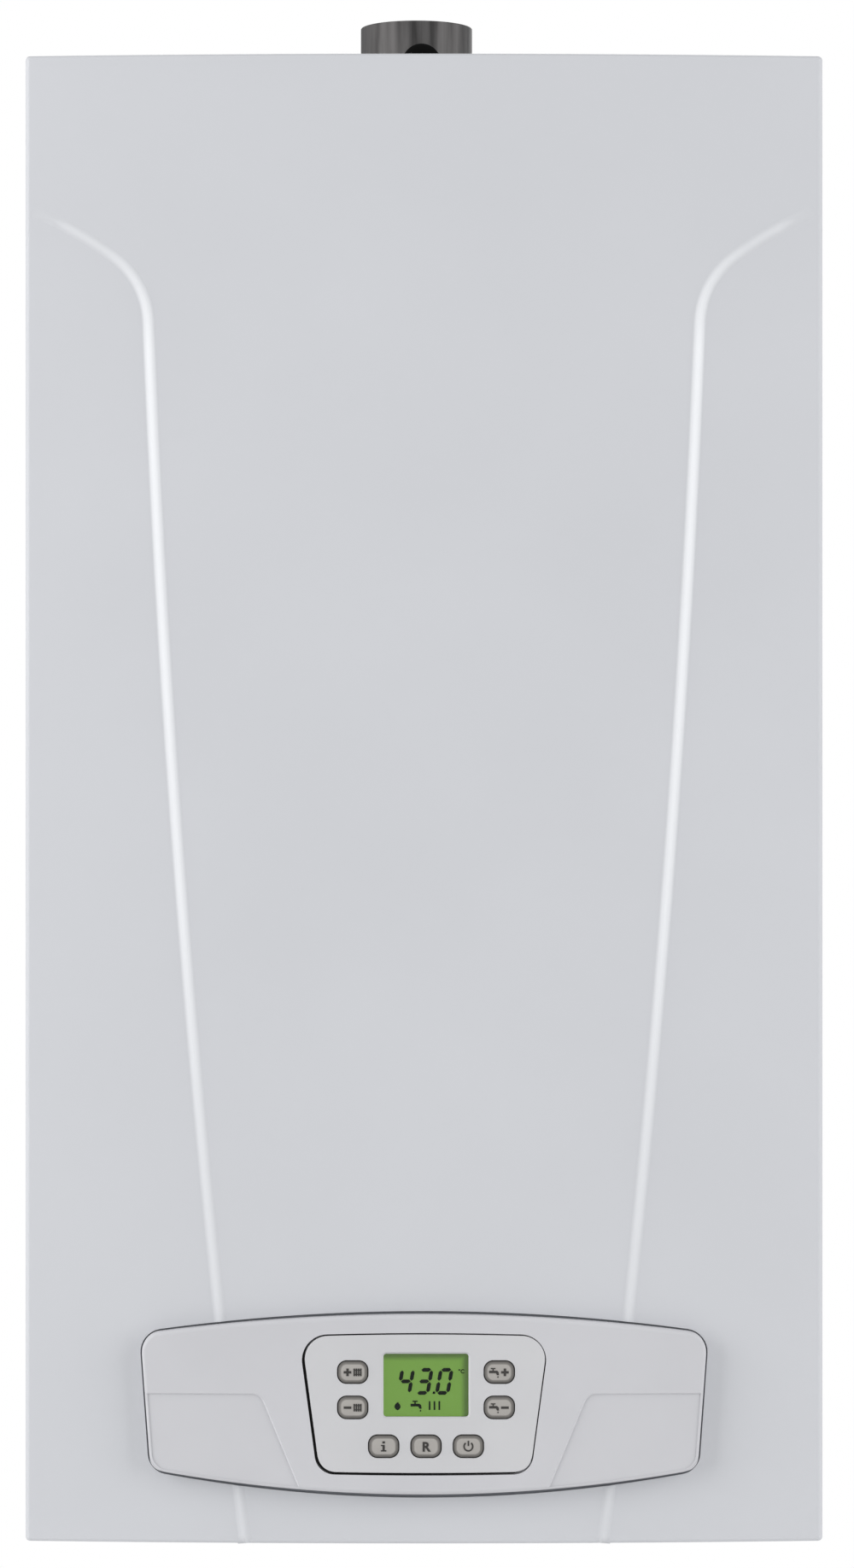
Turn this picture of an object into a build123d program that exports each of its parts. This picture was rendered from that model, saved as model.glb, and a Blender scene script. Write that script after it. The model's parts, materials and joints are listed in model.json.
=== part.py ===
from build123d import *
from math import sqrt
import os

# Wall-hung combi boiler. Millimetres. The origin lies on the wall plane, at the bottom centre of
# the casing: +X is to the right seen from the front, the front faces -Y, and +Z is up.

# ---------------------------------------------------------------------------------------------
# Driving dimensions
# ---------------------------------------------------------------------------------------------
# Casing cover
casing_w = 400.0
casing_h = 745.0
side_depth = 290.0          # wall to the front sheet, at the casing's side edges
bow_rise = 9.0              # how far the front bows out at its middle
sheet = 1.0
wall_gap = 3.0              # cover's rear edge to the wall
corner_r = 4.0
rim_r = 2.5
side_lip = 12.0
top_lip = 14.0
bottom_lip = 22.0
bead_w = 3.6
bead_h = 0.9
bead_bottom_x = 90.4
bead_middle = (120.0, 302.0)
bead_top = (138.0, 611.0)
bead_bend = (155.5, 643.5)
bead_tip = (193.0, 663.0)

# Control box: fascia, insert, display and buttons
fascia_proud = 8.0
fascia_top_half = 141.5
fascia_bottom_half = 136.5
fascia_end_low = 37.7
fascia_mid_low = 25.8
fascia_end_high = 105.0
fascia_mid_high = 115.2
fascia_top_r = 10.0
fascia_bottom_r = 7.0
fascia_edge_r = 2.0
fascia_wall = 2.5
fascia_gap = 0.5            # between the fascia's ends and the cover's cut-out
fascia_gap_high = 1.5       # the same above the fascia's middle
fascia_gap_low = 2.4        # the same below the fascia's middle
fascia_stand = 0.3          # fascia's rear rim in front of the sheet
step_z = 75.3
step_inner_x = 81.7
step_low_x = 61.0
step_depth = 0.8
step_chamfer = 0.7
step_r = 6.0
insert_top_half = 61.6
insert_bottom_half = 52.5
insert_low = 36.8
insert_high = 104.2
insert_arch = 1.2
insert_top_r = 12.0
insert_bottom_r = 9.0
insert_t = 2.5
insert_gap = 0.9
insert_shift = (0.45, 0.25) # insert to the right and up in its recess
insert_edge_r = 0.5
ledge_w = 5.0
ledge_t = 2.0
window_centre = (1.0, 80.2)
window_w = 42.0
window_h = 31.0
window_t = 1.5
window_r = 1.5
window_gap = 0.2
window_splay = 45.0         # degrees that the opening's sides lean outwards in front of the pane
button_w = 15.0
button_h = 11.2
button_r = 4.5
button_edge_r = 0.8
button_proud = 1.0
button_gap = 0.35
button_flange = 1.0
button_flange_t = 1.0
button_stem_r = 2.0
button_travel = 1.2
button_rest = 0.1           # stem's end to the board when pressed
left_button_x = -35.5
right_button_x = 37.5
upper_button_z = 86.8
middle_button_z = 69.2
lower_button_z = 49.9
lower_button_pitch = 21.1
module_border = 2.0
module_gap = 0.1
module_t = 4.2
board_half = 76.0
board_low = 38.0
board_high = 94.0
board_t = 1.6
board_inset = 3.0           # from the side edges' front plane back to the board
part_inset = 10.0
transformer_x = 20.0
transformer_w = 38.0
transformer_t = 26.0
relay_x = (-56.0, -36.0, -16.0)
relay_w = 14.0
relay_h = 22.0
relay_t = 16.0
capacitor_x = (-48.0, -18.0, 8.0)
capacitor_r = 4.5
capacitor_l = 20.0
housing_half = 91.5
housing_low = 34.0
housing_high = 98.0
housing_lead = 4.0          # housing's front rim before the side edges' front plane
housing_depth = 47.0
housing_wall = 2.0
box_screw_x = 83.0
box_screw_z = (53.0, 88.0)
box_screw_r = 1.5
box_screw_grip = 8.0        # length in the fascia's bosses
box_screw_sunk = 17.0       # head's seat below the housing's rear face
box_head_r = 3.0
box_head_h = 2.2
boss_reach = 6.0            # housing's front rim to where bosses and pillars meet
box_pillar_r = 5.0
board_pillar_x = 70.0
board_pillar_r = 3.0
board_pillar_inset = 7.0

# Hinge of the control box
hinge_lead = 2.0            # hinge axis before the side edges' front plane
hinge_z = 12.0
hinge_pin_r = 1.5
hinge_running = 0.05
arm_t = 3.0
arm_reach = 26.0            # from the hinge axis back to the arm's upright
arm_half = 3.0
arm_eye_r = 3.2
arm_top = 68.0
ear_t = 2.0
ear_gap = 0.3
ear_r = 3.4
ear_foot = 16.0

# Chassis
steel = 1.2
frame_inset = 4.0           # casing's side to the back frame's side
frame_flange = 80.0         # depth of the back frame's side flanges
rail_z = 2.0
rail_t = 1.5
rail_side = 26.0
rail_inset = 4.0            # from the side edges' front plane back to the rail
rail_depth = 61.0
rail_upstand = 28.0
shelf_z = 20.0
shelf_depth = 90.0
shelf_lip = 12.0
cover_seat = 0.4
cover_screw_x = 150.0
cover_screw_inset = 9.0     # from the rail's front edge
cover_screw_l = 9.0
cover_head_h = 1.8          # low heads, hidden behind the cover's rim
slot_w = 8.5
slot_l = 20.0
slot_spacing = 330.0
slot_z = 705.0

# Sealed chamber
chamber_low = 288.0
chamber_inset = 2.0         # back frame's side to the chamber's side
chamber_setback = 28.0      # from the side edges' front plane back to the chamber's front rim
chamber_flange = 14.0
seal_t = 2.0
lid_raise = 6.0
lid_border = 24.0
lid_screw_inset = 7.0
lid_screw_rows = 4
lid_screw_l = 8.0
screw_r = 2.0
screw_head_r = 4.5
screw_head_h = 3.0
screw_gap = 0.2

# Flue
flue_x = -4.0
flue_y = -140.0
collar_r = 29.6
collar_wall = 1.2
collar_top = 782.0
collar_foot_r = 33.0
collar_foot_h = 2.0
intake_r = 50.0
adaptor_pcd = 124.0
adaptor_hole_r = 1.6
adaptor_screws = 4
plug_x = -1.3
plug_z = 759.0
plug_r = 10.2
plug_bore_r = 7.2
plug_boss_r = 8.9
plug_boss = 2.0             # boss face in front of the collar
plug_stem = 3.0
plug_head = 3.0
blank_x = 118.0
blank_hole_r = 38.0
blank_r = 48.0
blank_screw_pcd = 86.0
blank_screws = 3
blank_t = 0.8

# Fan
fan_x = 34.0
fan_z = 668.0
fan_r = 55.0
fan_width = 50.0
fan_wall = 2.0
fan_outlet_z = 727.0
fan_inlet_r = 28.0
wheel_r = 45.0
wheel_width = 34.0
wheel_blades = 20
blade_l = 11.0
blade_t = 1.5
shaft_r = 3.0
shaft_running = 0.05
fan_motor_r = 30.0
fan_motor_l = 46.0
shaft_l = 34.0              # shaft inside a motor
shaft_end_gap = 2.0
motor_edge_r = 4.0

# Air pressure switch and its sensing tubes
switch_inset = 64.0         # chamber's side to the switch's middle
switch_z = 695.0
switch_r = 32.0
switch_rim = 6.0
switch_t = 27.0
switch_rim_t = 11.0
sensing_half = 8.0
sensing_bend = 20.0
sensing_r = 2.5
sensing_wall = 0.8

# Heat cell
cell_half = 128.0
cell_depth = 104.0
cell_low = 385.0
fins_low = 530.0
fins_high = 580.0
fin_t = 1.0
fin_pitch = 8.5
fin_count = 28
tube_r = 7.0
tube_pitch = 15.0
tube_count = 5
header_l = 22.0
header_half = 12.0
spacer_r = 5.0
spacer_inset = 28.0
insulation_t = 8.0
burner_blades = 12
burner_pitch = 18.0
burner_blade_w = 10.0
burner_h = 40.0
burner_rail_t = 4.0
injector_r = 3.0
injector_drop = 6.0
injector_h = 12.0
injector_gap = 3.0
hood_neck_z = 608.0
hood_half = 50.0
hood_gap = 3.0              # hood's duct to the chamber's back wall
hood_rise = 6.0             # duct above the fan's inlet
cell_wall = 1.5
fin_gap = 2.0               # fins to the heat cell's front and back planes

# Water side and gas side
stub_y = -45.0
stub_pitch = 65.0
big_stub_r = 13.2
small_stub_r = 10.5
stub_bore_r = 8.0
stub_drop = 24.0
stub_neck = 1.2
stub_neck_l = 2.0
hex_r = 17.0
hex_h = 7.0
manifold_low = 40.0
manifold_high = 75.0
manifold_front = -75.0
manifold_back = -35.0
manifold_out = 150.0
manifold_in = 48.0
valve_lead = 13.0           # pump volute's back plane behind the manifolds' front
pipe_r = 9.0
pipe_wall = 1.0
pipe_bend = 22.0
gas_turn_z = 215.0
flow_turn_z = (150.0, 190.0)
return_turn_z = (222.0, 262.0)
vessel_half = 150.0
vessel_low = 300.0
vessel_high = 720.0
vessel_front = -72.0
vessel_back = -12.0
vessel_pipe_r = 5.0
vessel_stub = 12.0
vessel_wall = 1.5
vessel_r = 40.0
vessel_edge_r = 12.0
vessel_pad_r = 10.0
vessel_pad_inset = 55.0
seam = 5.0
seam_t = 3.0
valve_half = 38.0
valve_depth = 70.0
valve_low = 60.0
valve_top = 150.0
solenoid_x = 22.0
solenoid_r = 13.0
solenoid_h = 28.0
collar_add = 3.0            # pipe ports stand this much wider than their pipes
port_h = 6.0
port_half = 10.0            # half width of the arms that carry the plate heat exchanger
port_x = 80.0
pump_x = 130.0
pump_z = 142.0
pump_r = 40.0
pump_wheel_r = 31.0
pump_motor_r = 36.0
pump_motor_l = 67.0
pump_width = 43.0
pump_wall = 8.0
pump_vanes = 7
vane_l = 20.0
vane_t = 2.0
vane_h = 16.0
wheel_gap = 2.0
neck_half = 12.0
neck_inset = 10.0
pump_port_rise = 4.0        # ports above the volute
vent_offset = 25.0
vent_r = 11.0
vent_h = 34.0
vent_cap_r = 4.0
vent_cap_h = 8.0
terminal_half = 22.0
terminal_inset = 12.0
terminal_rise = 18.0
plate_half = 95.0
plate_low = 38.0
plate_high = 92.0
plate_count = 14
plate_lip = 3.0
plate_depth = 65.0
plate_reach = 45.0          # manifolds' front to the plate heat exchanger
gauge_inset = 21.0          # from the bottom rail's rear edge
gauge_r = 18.0
gauge_h = 24.0
gauge_flange = 2.0
dial_r = 16.5
dial_recess = 4.0
needle_pin_r = 1.0
needle_hub_r = 3.0
needle_w = 1.4
needle_t = 1.0
needle_rise = 0.6
tap_x = 98.0
safety_x = 125.0
safety_z = 57.0
safety_r = 11.0
safety_l = 22.0
safety_knob_r = 14.0
safety_knob_l = 20.0
safety_grips = 8
knob_stem = 10.0
spindle_x = -115.0
spindle_y = -58.0
spindle_r = 4.0
spindle_travel = 6.0
spindle_low = 44.0
spindle_top = 93.0
drive_half = 21.0
drive_h = 55.0
drive_r = 6.0
tap_body_r = 7.0
tap_knob_r = 11.0
tap_knob_h = 14.0
tap_drop = 6.0              # tap body's end below the shelf
tap_grips = 6
grip_r = 3.0                # radius of the finger grooves round a knob
knob_gap = 0.4
gland_x = 165.0
gland_thread_r = 6.0
gland_bore_r = 4.0
gland_nut_r = 11.0
gland_drop = 12.0
gland_nut_h = 4.0
gland_rise = 10.0

# ---------------------------------------------------------------------------------------------
# Derived places
# ---------------------------------------------------------------------------------------------
bow_radius = ((casing_w / 2) ** 2 + bow_rise ** 2) / (2 * bow_rise)
bow_centre_y = bow_radius - side_depth - bow_rise
panel_top = casing_h - sheet - cover_seat
panel_low = panel_top - steel
board_y = board_inset - side_depth
housing_front = -side_depth - housing_lead
hinge_y = -side_depth - hinge_lead
rail_front = rail_inset - side_depth
rail_back = rail_front + rail_depth
gauge_y = rail_back - gauge_inset
chamber_front = chamber_setback - side_depth
cover_screw_y = rail_front + cover_screw_inset
rail_top = rail_z + rail_t
shelf_top = shelf_z + steel
frame_half = casing_w / 2 - frame_inset
chamber_half = frame_half - chamber_inset
switch_x = switch_inset - chamber_half
shelf_half = frame_half - steel
chamber_back = -frame_flange
boss_front = flue_y - collar_r - plug_boss
lid_y = chamber_front - seal_t
fan_back = flue_y + fan_width / 2
fan_front = flue_y - fan_width / 2
outlet_half = fan_width / 2
wheel_front = flue_y - wheel_width / 2
cell_y = flue_y
cell_back = cell_y + cell_depth / 2
duct_back = chamber_back - sheet - hood_gap
switch_step_y = chamber_back - sheet - switch_rim_t
switch_front = chamber_back - sheet - switch_t
duct_top = fan_z + fan_inlet_r + hood_rise
tube_z = (fins_low + fins_high) / 2
tube_y = [cell_y + (i - (tube_count - 1) / 2) * tube_pitch for i in range(tube_count)]
burner_low = cell_low - burner_h
injector_z = burner_low + injector_drop + injector_h / 2
cell_front = cell_y - cell_depth / 2
housing_back = housing_front + housing_depth
boss_y = housing_front + boss_reach
head_y = housing_back - box_screw_sunk
box_screw_places = [(x, z) for x in (-box_screw_x, box_screw_x) for z in box_screw_z]
arm_y = hinge_y + arm_reach
tube_end = cell_half - sheet
header_x = tube_end + header_l / 2
valve_y = stub_y - valve_depth / 2 + stub_bore_r + collar_add
gas_port_y = valve_y + valve_depth / 2 - pipe_r - 2 * collar_add
spindle_at = (spindle_x, spindle_y)
flow_landing = (-stub_pitch - pipe_r, stub_y - pipe_r)
header_low = tube_z - header_half
safety_front = manifold_front - safety_l
dial_z = rail_z + dial_recess
tap_body_low = shelf_z - tap_drop
vessel_h = vessel_high - vessel_low
vessel_mid_z = (vessel_low + vessel_high) / 2
vessel_port = (stub_pitch, (vessel_back + vessel_front) / 2)
volute_back = manifold_front + valve_lead
volute_front = volute_back - pump_width
volute_mid = (volute_back + volute_front) / 2
pump_port_z = pump_z + pump_r + pump_port_rise
vent_at = (pump_x - vent_offset, volute_mid)
pump_out = (pump_x + pump_port_rise, volute_mid)
plate_back = manifold_front - plate_reach
plate_front = plate_back - plate_depth
gas_rise_y = cell_front - 12


# ---------------------------------------------------------------------------------------------
# Shared shapes
# ---------------------------------------------------------------------------------------------
def front_y(x, out=0.0):
    """Where a surface standing `out` in front of the bowed sheet lies, at a distance x from the middle."""
    return bow_centre_y - sqrt((bow_radius + out) ** 2 - x ** 2)


def bar(x0, x1, y0, y1, z0, z1, mode=Mode.ADD):
    """Box between two opposite corners."""
    with Locations(((x0 + x1) / 2, (y0 + y1) / 2, (z0 + z1) / 2)):
        Box(abs(x1 - x0), abs(y1 - y0), abs(z1 - z0), mode=mode)


def rod(radius, start, end, mode=Mode.ADD):
    """Round bar from one point to another."""
    run = Vector(*end) - Vector(*start)
    with Locations(Plane(origin=start, z_dir=run)):
        Cylinder(radius, run.length, align=(Align.CENTER, Align.CENTER, Align.MIN), mode=mode)


def casing_plan(inset, back, z):
    """Plan outline of the casing with its bowed front, drawn a given inset inside the outer sheet."""
    half = casing_w / 2 - inset
    side_y = front_y(half, -inset)
    with BuildSketch(Plane.XY.offset(z)) as plan:
        with BuildLine():
            ThreePointArc((-half, side_y), (0, front_y(0, -inset)), (half, side_y))
            Polyline((half, side_y), (half, back), (-half, back), (-half, side_y))
        make_face()
        fillet(plan.vertices().group_by(Axis.Y)[0], corner_r - inset)
    return plan.sketch


def bow_slab(inner, outer):
    """Upright slab that follows the bow, between two distances in front of the sheet."""
    half = casing_w / 2
    outer_y = front_y(half, outer)
    inner_y = front_y(half, inner)
    with BuildPart() as slab:
        with BuildSketch():
            with BuildLine():
                ThreePointArc((-half, outer_y), (0, front_y(0, outer)), (half, outer_y))
                Line((half, outer_y), (half, inner_y))
                ThreePointArc((half, inner_y), (0, front_y(0, inner)), (-half, inner_y))
                Line((-half, inner_y), (-half, outer_y))
            make_face()
        extrude(amount=casing_h)
    return slab.part


def bowed_plate(face_sketch, inner, outer):
    """A front outline extruded along Y and kept only between two distances in front of the sheet."""
    with BuildPart() as plate:
        extrude(face_sketch, amount=side_depth / 4, both=True)
        add(bow_slab(inner, outer), mode=Mode.INTERSECT)
    return plate.part


def arched_outline(low_half, top_half, low_end, low_mid, high_end, high_mid, low_r, top_r, grow=0.0):
    """Front outline with leaning sides, an arched top and bottom and rounded corners."""
    with BuildSketch(Plane.XZ.offset(side_depth)) as outline:
        with BuildLine():
            ThreePointArc((-low_half, low_end), (0, low_mid), (low_half, low_end))
            Line((low_half, low_end), (top_half, high_end))
            ThreePointArc((top_half, high_end), (0, high_mid), (-top_half, high_end))
            Line((-top_half, high_end), (-low_half, low_end))
        make_face()
        fillet(outline.vertices().group_by(Axis.Y)[0], low_r)
        fillet(outline.vertices().group_by(Axis.Y)[-1], top_r)
        if grow:
            offset(amount=grow)
    return outline.sketch


def fascia_outline(grow=0.0, lower=0.0, higher=0.0):
    """The fascia's outline, grown all round, and further at the middle of its bottom and top."""
    return arched_outline(fascia_bottom_half, fascia_top_half, fascia_end_low, fascia_mid_low - lower,
                          fascia_end_high, fascia_mid_high + higher, fascia_bottom_r, fascia_top_r, grow)


def insert_outline(grow=0.0):
    """Outline of the insert's recess, grown by a clearance."""
    return arched_outline(insert_bottom_half, insert_top_half, insert_low, insert_low - insert_arch / 2,
                          insert_high, insert_high + insert_arch, insert_bottom_r, insert_top_r, grow)


def step_outline(side):
    """Lower outer region of the fascia, seen from the front, which lies a little deeper."""
    outside = side * (fascia_top_half + fascia_gap)
    below = fascia_mid_low - fascia_gap
    with BuildSketch(Plane.XZ.offset(side_depth)) as outline:
        with BuildLine():
            Polyline((outside, step_z), (side * step_inner_x, step_z), (side * step_low_x, below),
                     (outside, below), close=True)
        make_face()
        fillet(outline.vertices().group_by(Axis.Y)[-1].sort_by(Axis.X)[0 if side > 0 else -1], step_r)
    return outline.sketch


def is_step_edge(edge):
    """Whether an edge is the top of a step's wall: on the fascia's front face, along the step's outline."""
    at = edge @ 0.5
    on_front = abs(sqrt(at.X ** 2 + (at.Y - bow_centre_y) ** 2) - bow_radius - fascia_proud) < 0.01
    beside = step_low_x < abs(at.X) < fascia_bottom_half and at.Z < step_z + 0.01
    return on_front and beside and at.Z > fascia_end_low + step_r


def key_outline(x, z, grow=0.0):
    """Rounded rectangle of a button, seen from the front."""
    with BuildSketch(Plane.XZ.offset(side_depth)) as outline:
        with Locations((x, z)):
            RectangleRounded(button_w + 2 * grow, button_h + 2 * grow, button_r + grow)
    return outline.sketch


def pipe(points, bend, radius, wall):
    """Tube along straight runs joined by round bends."""
    with BuildLine() as route:
        FilletPolyline(*points, radius=bend)
    start = Plane(origin=points[0], z_dir=Vector(*points[1]) - Vector(*points[0]))
    with BuildSketch(start) as section:
        Circle(radius)
        Circle(radius - wall, mode=Mode.SUBTRACT)
    sweep(sections=section.sketch, path=route.wire())


def save(part, name):
    """Label a finished piece and write its file."""
    part.label = name
    export_step(part, f"parts/{name}.step")


os.makedirs("parts", exist_ok=True)

# ---------------------------------------------------------------------------------------------
# Casing cover: bowed front, sides and lips in one sheet, with two pressed beads and its cut-out
# ---------------------------------------------------------------------------------------------
def bead(side):
    """One pressed bead: a long bow, a tight bend and an outward tip, standing out of the sheet."""
    with BuildPart() as ridge:
        with BuildSketch(Plane.XZ.offset(side_depth)) as band:
            with BuildLine() as course:
                long_run = ThreePointArc((side * bead_bottom_x, rim_r),
                                         (side * bead_middle[0], bead_middle[1]),
                                         (side * bead_top[0], bead_top[1]))
                bend = TangentArc(long_run @ 1, (side * bead_bend[0], bead_bend[1]), tangent=long_run % 1)
                TangentArc(bend @ 1, (side * bead_tip[0], bead_tip[1]), tangent=bend % 1)
            trace(course.edges(), line_width=bead_w)
        extrude(amount=side_depth / 4, both=True)
        add(bow_slab(-sheet / 2, bead_h), mode=Mode.INTERSECT)
    return ridge.part


with BuildPart() as front_cover:
    extrude(casing_plan(0, -wall_gap, 0), amount=casing_h)
    for rim in (front_cover.faces().sort_by(Axis.Z)[-1], front_cover.faces().sort_by(Axis.Z)[0]):
        fillet(rim.edges().sort_by(Axis.Y)[:-1], rim_r)
    for side in (-1, 1):
        add(bead(side))
    extrude(casing_plan(sheet, -wall_gap + sheet, sheet), amount=casing_h - 2 * sheet, mode=Mode.SUBTRACT)
    lip_half = casing_w / 2 - side_lip
    bar(-lip_half, lip_half, 0, top_lip - side_depth, casing_h - 2 * sheet, casing_h + sheet, Mode.SUBTRACT)
    bar(-lip_half, lip_half, 0, bottom_lip - side_depth, -sheet, 2 * sheet, Mode.SUBTRACT)
    cut_out = fascia_outline(fascia_gap, fascia_gap_low - fascia_gap, fascia_gap_high - fascia_gap)
    add(bowed_plate(cut_out, -sheet * 3, bead_h + sheet), mode=Mode.SUBTRACT)
    with Locations((-cover_screw_x, cover_screw_y, 0), (cover_screw_x, cover_screw_y, 0)):
        Cylinder(screw_r + screw_gap, 4 * sheet, mode=Mode.SUBTRACT)
save(front_cover.part, "front_cover")

with BuildPart() as cover_screws:
    for x in (-cover_screw_x, cover_screw_x):
        rod(screw_r, (x, cover_screw_y, 0), (x, cover_screw_y, cover_screw_l))
        rod(screw_head_r, (x, cover_screw_y, -cover_head_h), (x, cover_screw_y, 0))
save(cover_screws.part, "cover_screws")

# ---------------------------------------------------------------------------------------------
# Control box
# ---------------------------------------------------------------------------------------------
button_places = {
    "button_heat_up": (left_button_x, upper_button_z),
    "button_heat_down": (left_button_x, middle_button_z),
    "button_water_up": (right_button_x, upper_button_z),
    "button_water_down": (right_button_x, middle_button_z),
    "button_info": (window_centre[0] - lower_button_pitch, lower_button_z),
    "button_reset": (window_centre[0], lower_button_z),
    "button_power": (window_centre[0] + lower_button_pitch, lower_button_z),
}
insert_back = fascia_proud - insert_t
ledge_back = insert_back - ledge_t

with BuildPart() as fascia:
    add(bowed_plate(fascia_outline(), fascia_stand, fascia_proud))
    fillet(fascia.faces().sort_by(Axis.Y)[0].edges(), fascia_edge_r)
    add(bowed_plate(fascia_outline(-fascia_wall), fascia_stand - 1, ledge_back), mode=Mode.SUBTRACT)
    rim_zone = fascia_outline(-fascia_wall) - insert_outline(insert_gap + fascia_wall)
    add(bowed_plate(rim_zone, ledge_back - 1, fascia_proud - fascia_wall), mode=Mode.SUBTRACT)
    add(bowed_plate(insert_outline(insert_gap), insert_back, fascia_proud + 1), mode=Mode.SUBTRACT)
    add(bowed_plate(insert_outline(-ledge_w), ledge_back - 1, fascia_proud), mode=Mode.SUBTRACT)
    for side in (-1, 1):
        add(bowed_plate(step_outline(side), fascia_proud - step_depth, fascia_proud + 1), mode=Mode.SUBTRACT)
    chamfer([edge for edge in fascia.edges() if is_step_edge(edge)], step_chamfer)
    for x, z in box_screw_places:
        rod(box_pillar_r, (x, boss_y, z), (x, front_y(x, fascia_proud - fascia_wall / 2), z))
        rod(box_screw_r, (x, boss_y, z), (x, boss_y - box_screw_grip, z), Mode.SUBTRACT)
save(fascia.part, "fascia")

with BuildPart() as insert_panel:
    shift_x, shift_z = insert_shift
    add(bowed_plate(insert_outline().moved(Location((shift_x, 0, shift_z))), insert_back, fascia_proud))
    fillet(insert_panel.faces().sort_by(Axis.Y)[0].edges(), insert_edge_r)
    for x, z in button_places.values():
        add(bowed_plate(key_outline(x, z, button_gap), 0, fascia_proud + 1), mode=Mode.SUBTRACT)
    with BuildSketch(Plane.XZ.offset(side_depth)):
        with Locations(window_centre):
            RectangleRounded(window_w + 2 * window_gap, window_h + 2 * window_gap, window_r)
    extrude(amount=side_depth / 4, both=True, mode=Mode.SUBTRACT)
    with BuildSketch(Plane.XZ.offset(-front_y(0, insert_back + window_t))):
        with Locations(window_centre):
            RectangleRounded(window_w + 2 * window_gap, window_h + 2 * window_gap, window_r)
    extrude(amount=fascia_proud, taper=-window_splay, mode=Mode.SUBTRACT)
save(insert_panel.part, "insert_panel")

with BuildPart() as display_window:
    with BuildSketch(Plane.XZ.offset(side_depth)) as pane:
        with Locations(window_centre):
            RectangleRounded(window_w, window_h, window_r - window_gap)
    add(bowed_plate(pane.sketch, insert_back, insert_back + window_t), mode=Mode.REPLACE)
save(display_window.part, "display_window")

module_front = front_y(window_centre[0] + window_w / 2 + module_border, insert_back) + module_gap
with BuildPart() as display_module:
    half_w = window_w / 2 + module_border
    half_h = window_h / 2 + module_border
    mid_x, mid_z = window_centre
    module_back = module_front + module_t
    bar(mid_x - half_w, mid_x + half_w, module_front, module_back, mid_z - half_h, mid_z + half_h)
    bar(mid_x - window_w / 2, mid_x + window_w / 2, module_back, board_y,
        mid_z - window_h / 2 + module_border, mid_z + window_h / 2 - module_border)
save(display_module.part, "display_module")

for key_name, (x, z) in button_places.items():
    with BuildPart() as key:
        add(bowed_plate(key_outline(x, z), insert_back - button_gap, fascia_proud + button_proud))
        fillet(key.faces().sort_by(Axis.Y)[0].edges(), button_edge_r)
        add(bowed_plate(key_outline(x, z, button_flange), insert_back - button_gap - button_flange_t,
                        insert_back - button_gap))
        rod(button_stem_r, (x, front_y(x, insert_back - 1), z), (x, board_y - button_travel - button_rest, z))
    save(key.part, key_name)

with BuildPart() as circuit_board:
    board_back = board_y + board_t
    bar(-board_half, board_half, board_y, board_back, board_low, board_high)
    bar(transformer_x, transformer_x + transformer_w, board_back, board_back + transformer_t,
        board_low + part_inset, board_high - part_inset)
    for x in relay_x:
        bar(x, x + relay_w, board_back, board_back + relay_t, board_high - part_inset - relay_h,
            board_high - part_inset)
    for x in capacitor_x:
        rod(capacitor_r, (x, board_back, board_low + part_inset),
            (x, board_back + capacitor_l, board_low + part_inset))
save(circuit_board.part, "circuit_board")

with BuildPart() as rear_housing:
    inner_half = housing_half - housing_wall
    bar(-housing_half, housing_half, housing_front, housing_back, housing_low, housing_high)
    bar(-inner_half, inner_half, housing_front - 1, housing_back - housing_wall,
        housing_low + housing_wall, housing_high - housing_wall, Mode.SUBTRACT)
    for x, z in box_screw_places:
        rod(box_pillar_r, (x, housing_back - housing_wall / 2, z), (x, boss_y, z))
        rod(box_screw_r + screw_gap / 2, (x, housing_back + 1, z), (x, boss_y - 1, z), Mode.SUBTRACT)
        rod(box_head_r + screw_gap, (x, housing_back + 1, z), (x, head_y, z), Mode.SUBTRACT)
    for x in (-board_pillar_x, board_pillar_x):
        for z in (board_low + board_pillar_inset, board_high - board_pillar_inset):
            rod(board_pillar_r, (x, housing_back - housing_wall / 2, z), (x, board_y + board_t, z))
    for side in (-1, 1):
        x0 = side * housing_half
        x1 = side * (housing_half + arm_t)
        bar(x0, x1, hinge_y, arm_y + arm_half, hinge_z - arm_half, hinge_z + arm_half)
        bar(x0, x1, arm_y - arm_half, arm_y + arm_half, hinge_z - arm_half, arm_top)
        rod(arm_eye_r, (x0, hinge_y, hinge_z), (x1, hinge_y, hinge_z))
        rod(hinge_pin_r + hinge_running, (x0 - side, hinge_y, hinge_z), (x1 + side, hinge_y, hinge_z),
            Mode.SUBTRACT)
save(rear_housing.part, "rear_housing")

with BuildPart() as box_screws:
    for x, z in box_screw_places:
        rod(box_screw_r, (x, head_y, z), (x, boss_y - box_screw_grip, z))
        rod(box_head_r, (x, head_y, z), (x, head_y + box_head_h, z))
save(box_screws.part, "box_screws")

# ---------------------------------------------------------------------------------------------
# Chassis sheet metal
# ---------------------------------------------------------------------------------------------
with BuildPart() as back_frame:
    bar(-frame_half, frame_half, -steel, 0, 0, panel_low)
    for side in (-1, 1):
        bar(side * (frame_half - steel), side * frame_half, -frame_flange, 0, rail_z + rail_t, panel_low)
    with BuildSketch(Plane.XZ):
        with Locations((-slot_spacing / 2, slot_z), (slot_spacing / 2, slot_z)):
            SlotOverall(slot_l, slot_w)
    extrude(amount=2 * steel, both=True, mode=Mode.SUBTRACT)
save(back_frame.part, "back_frame")

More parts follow.
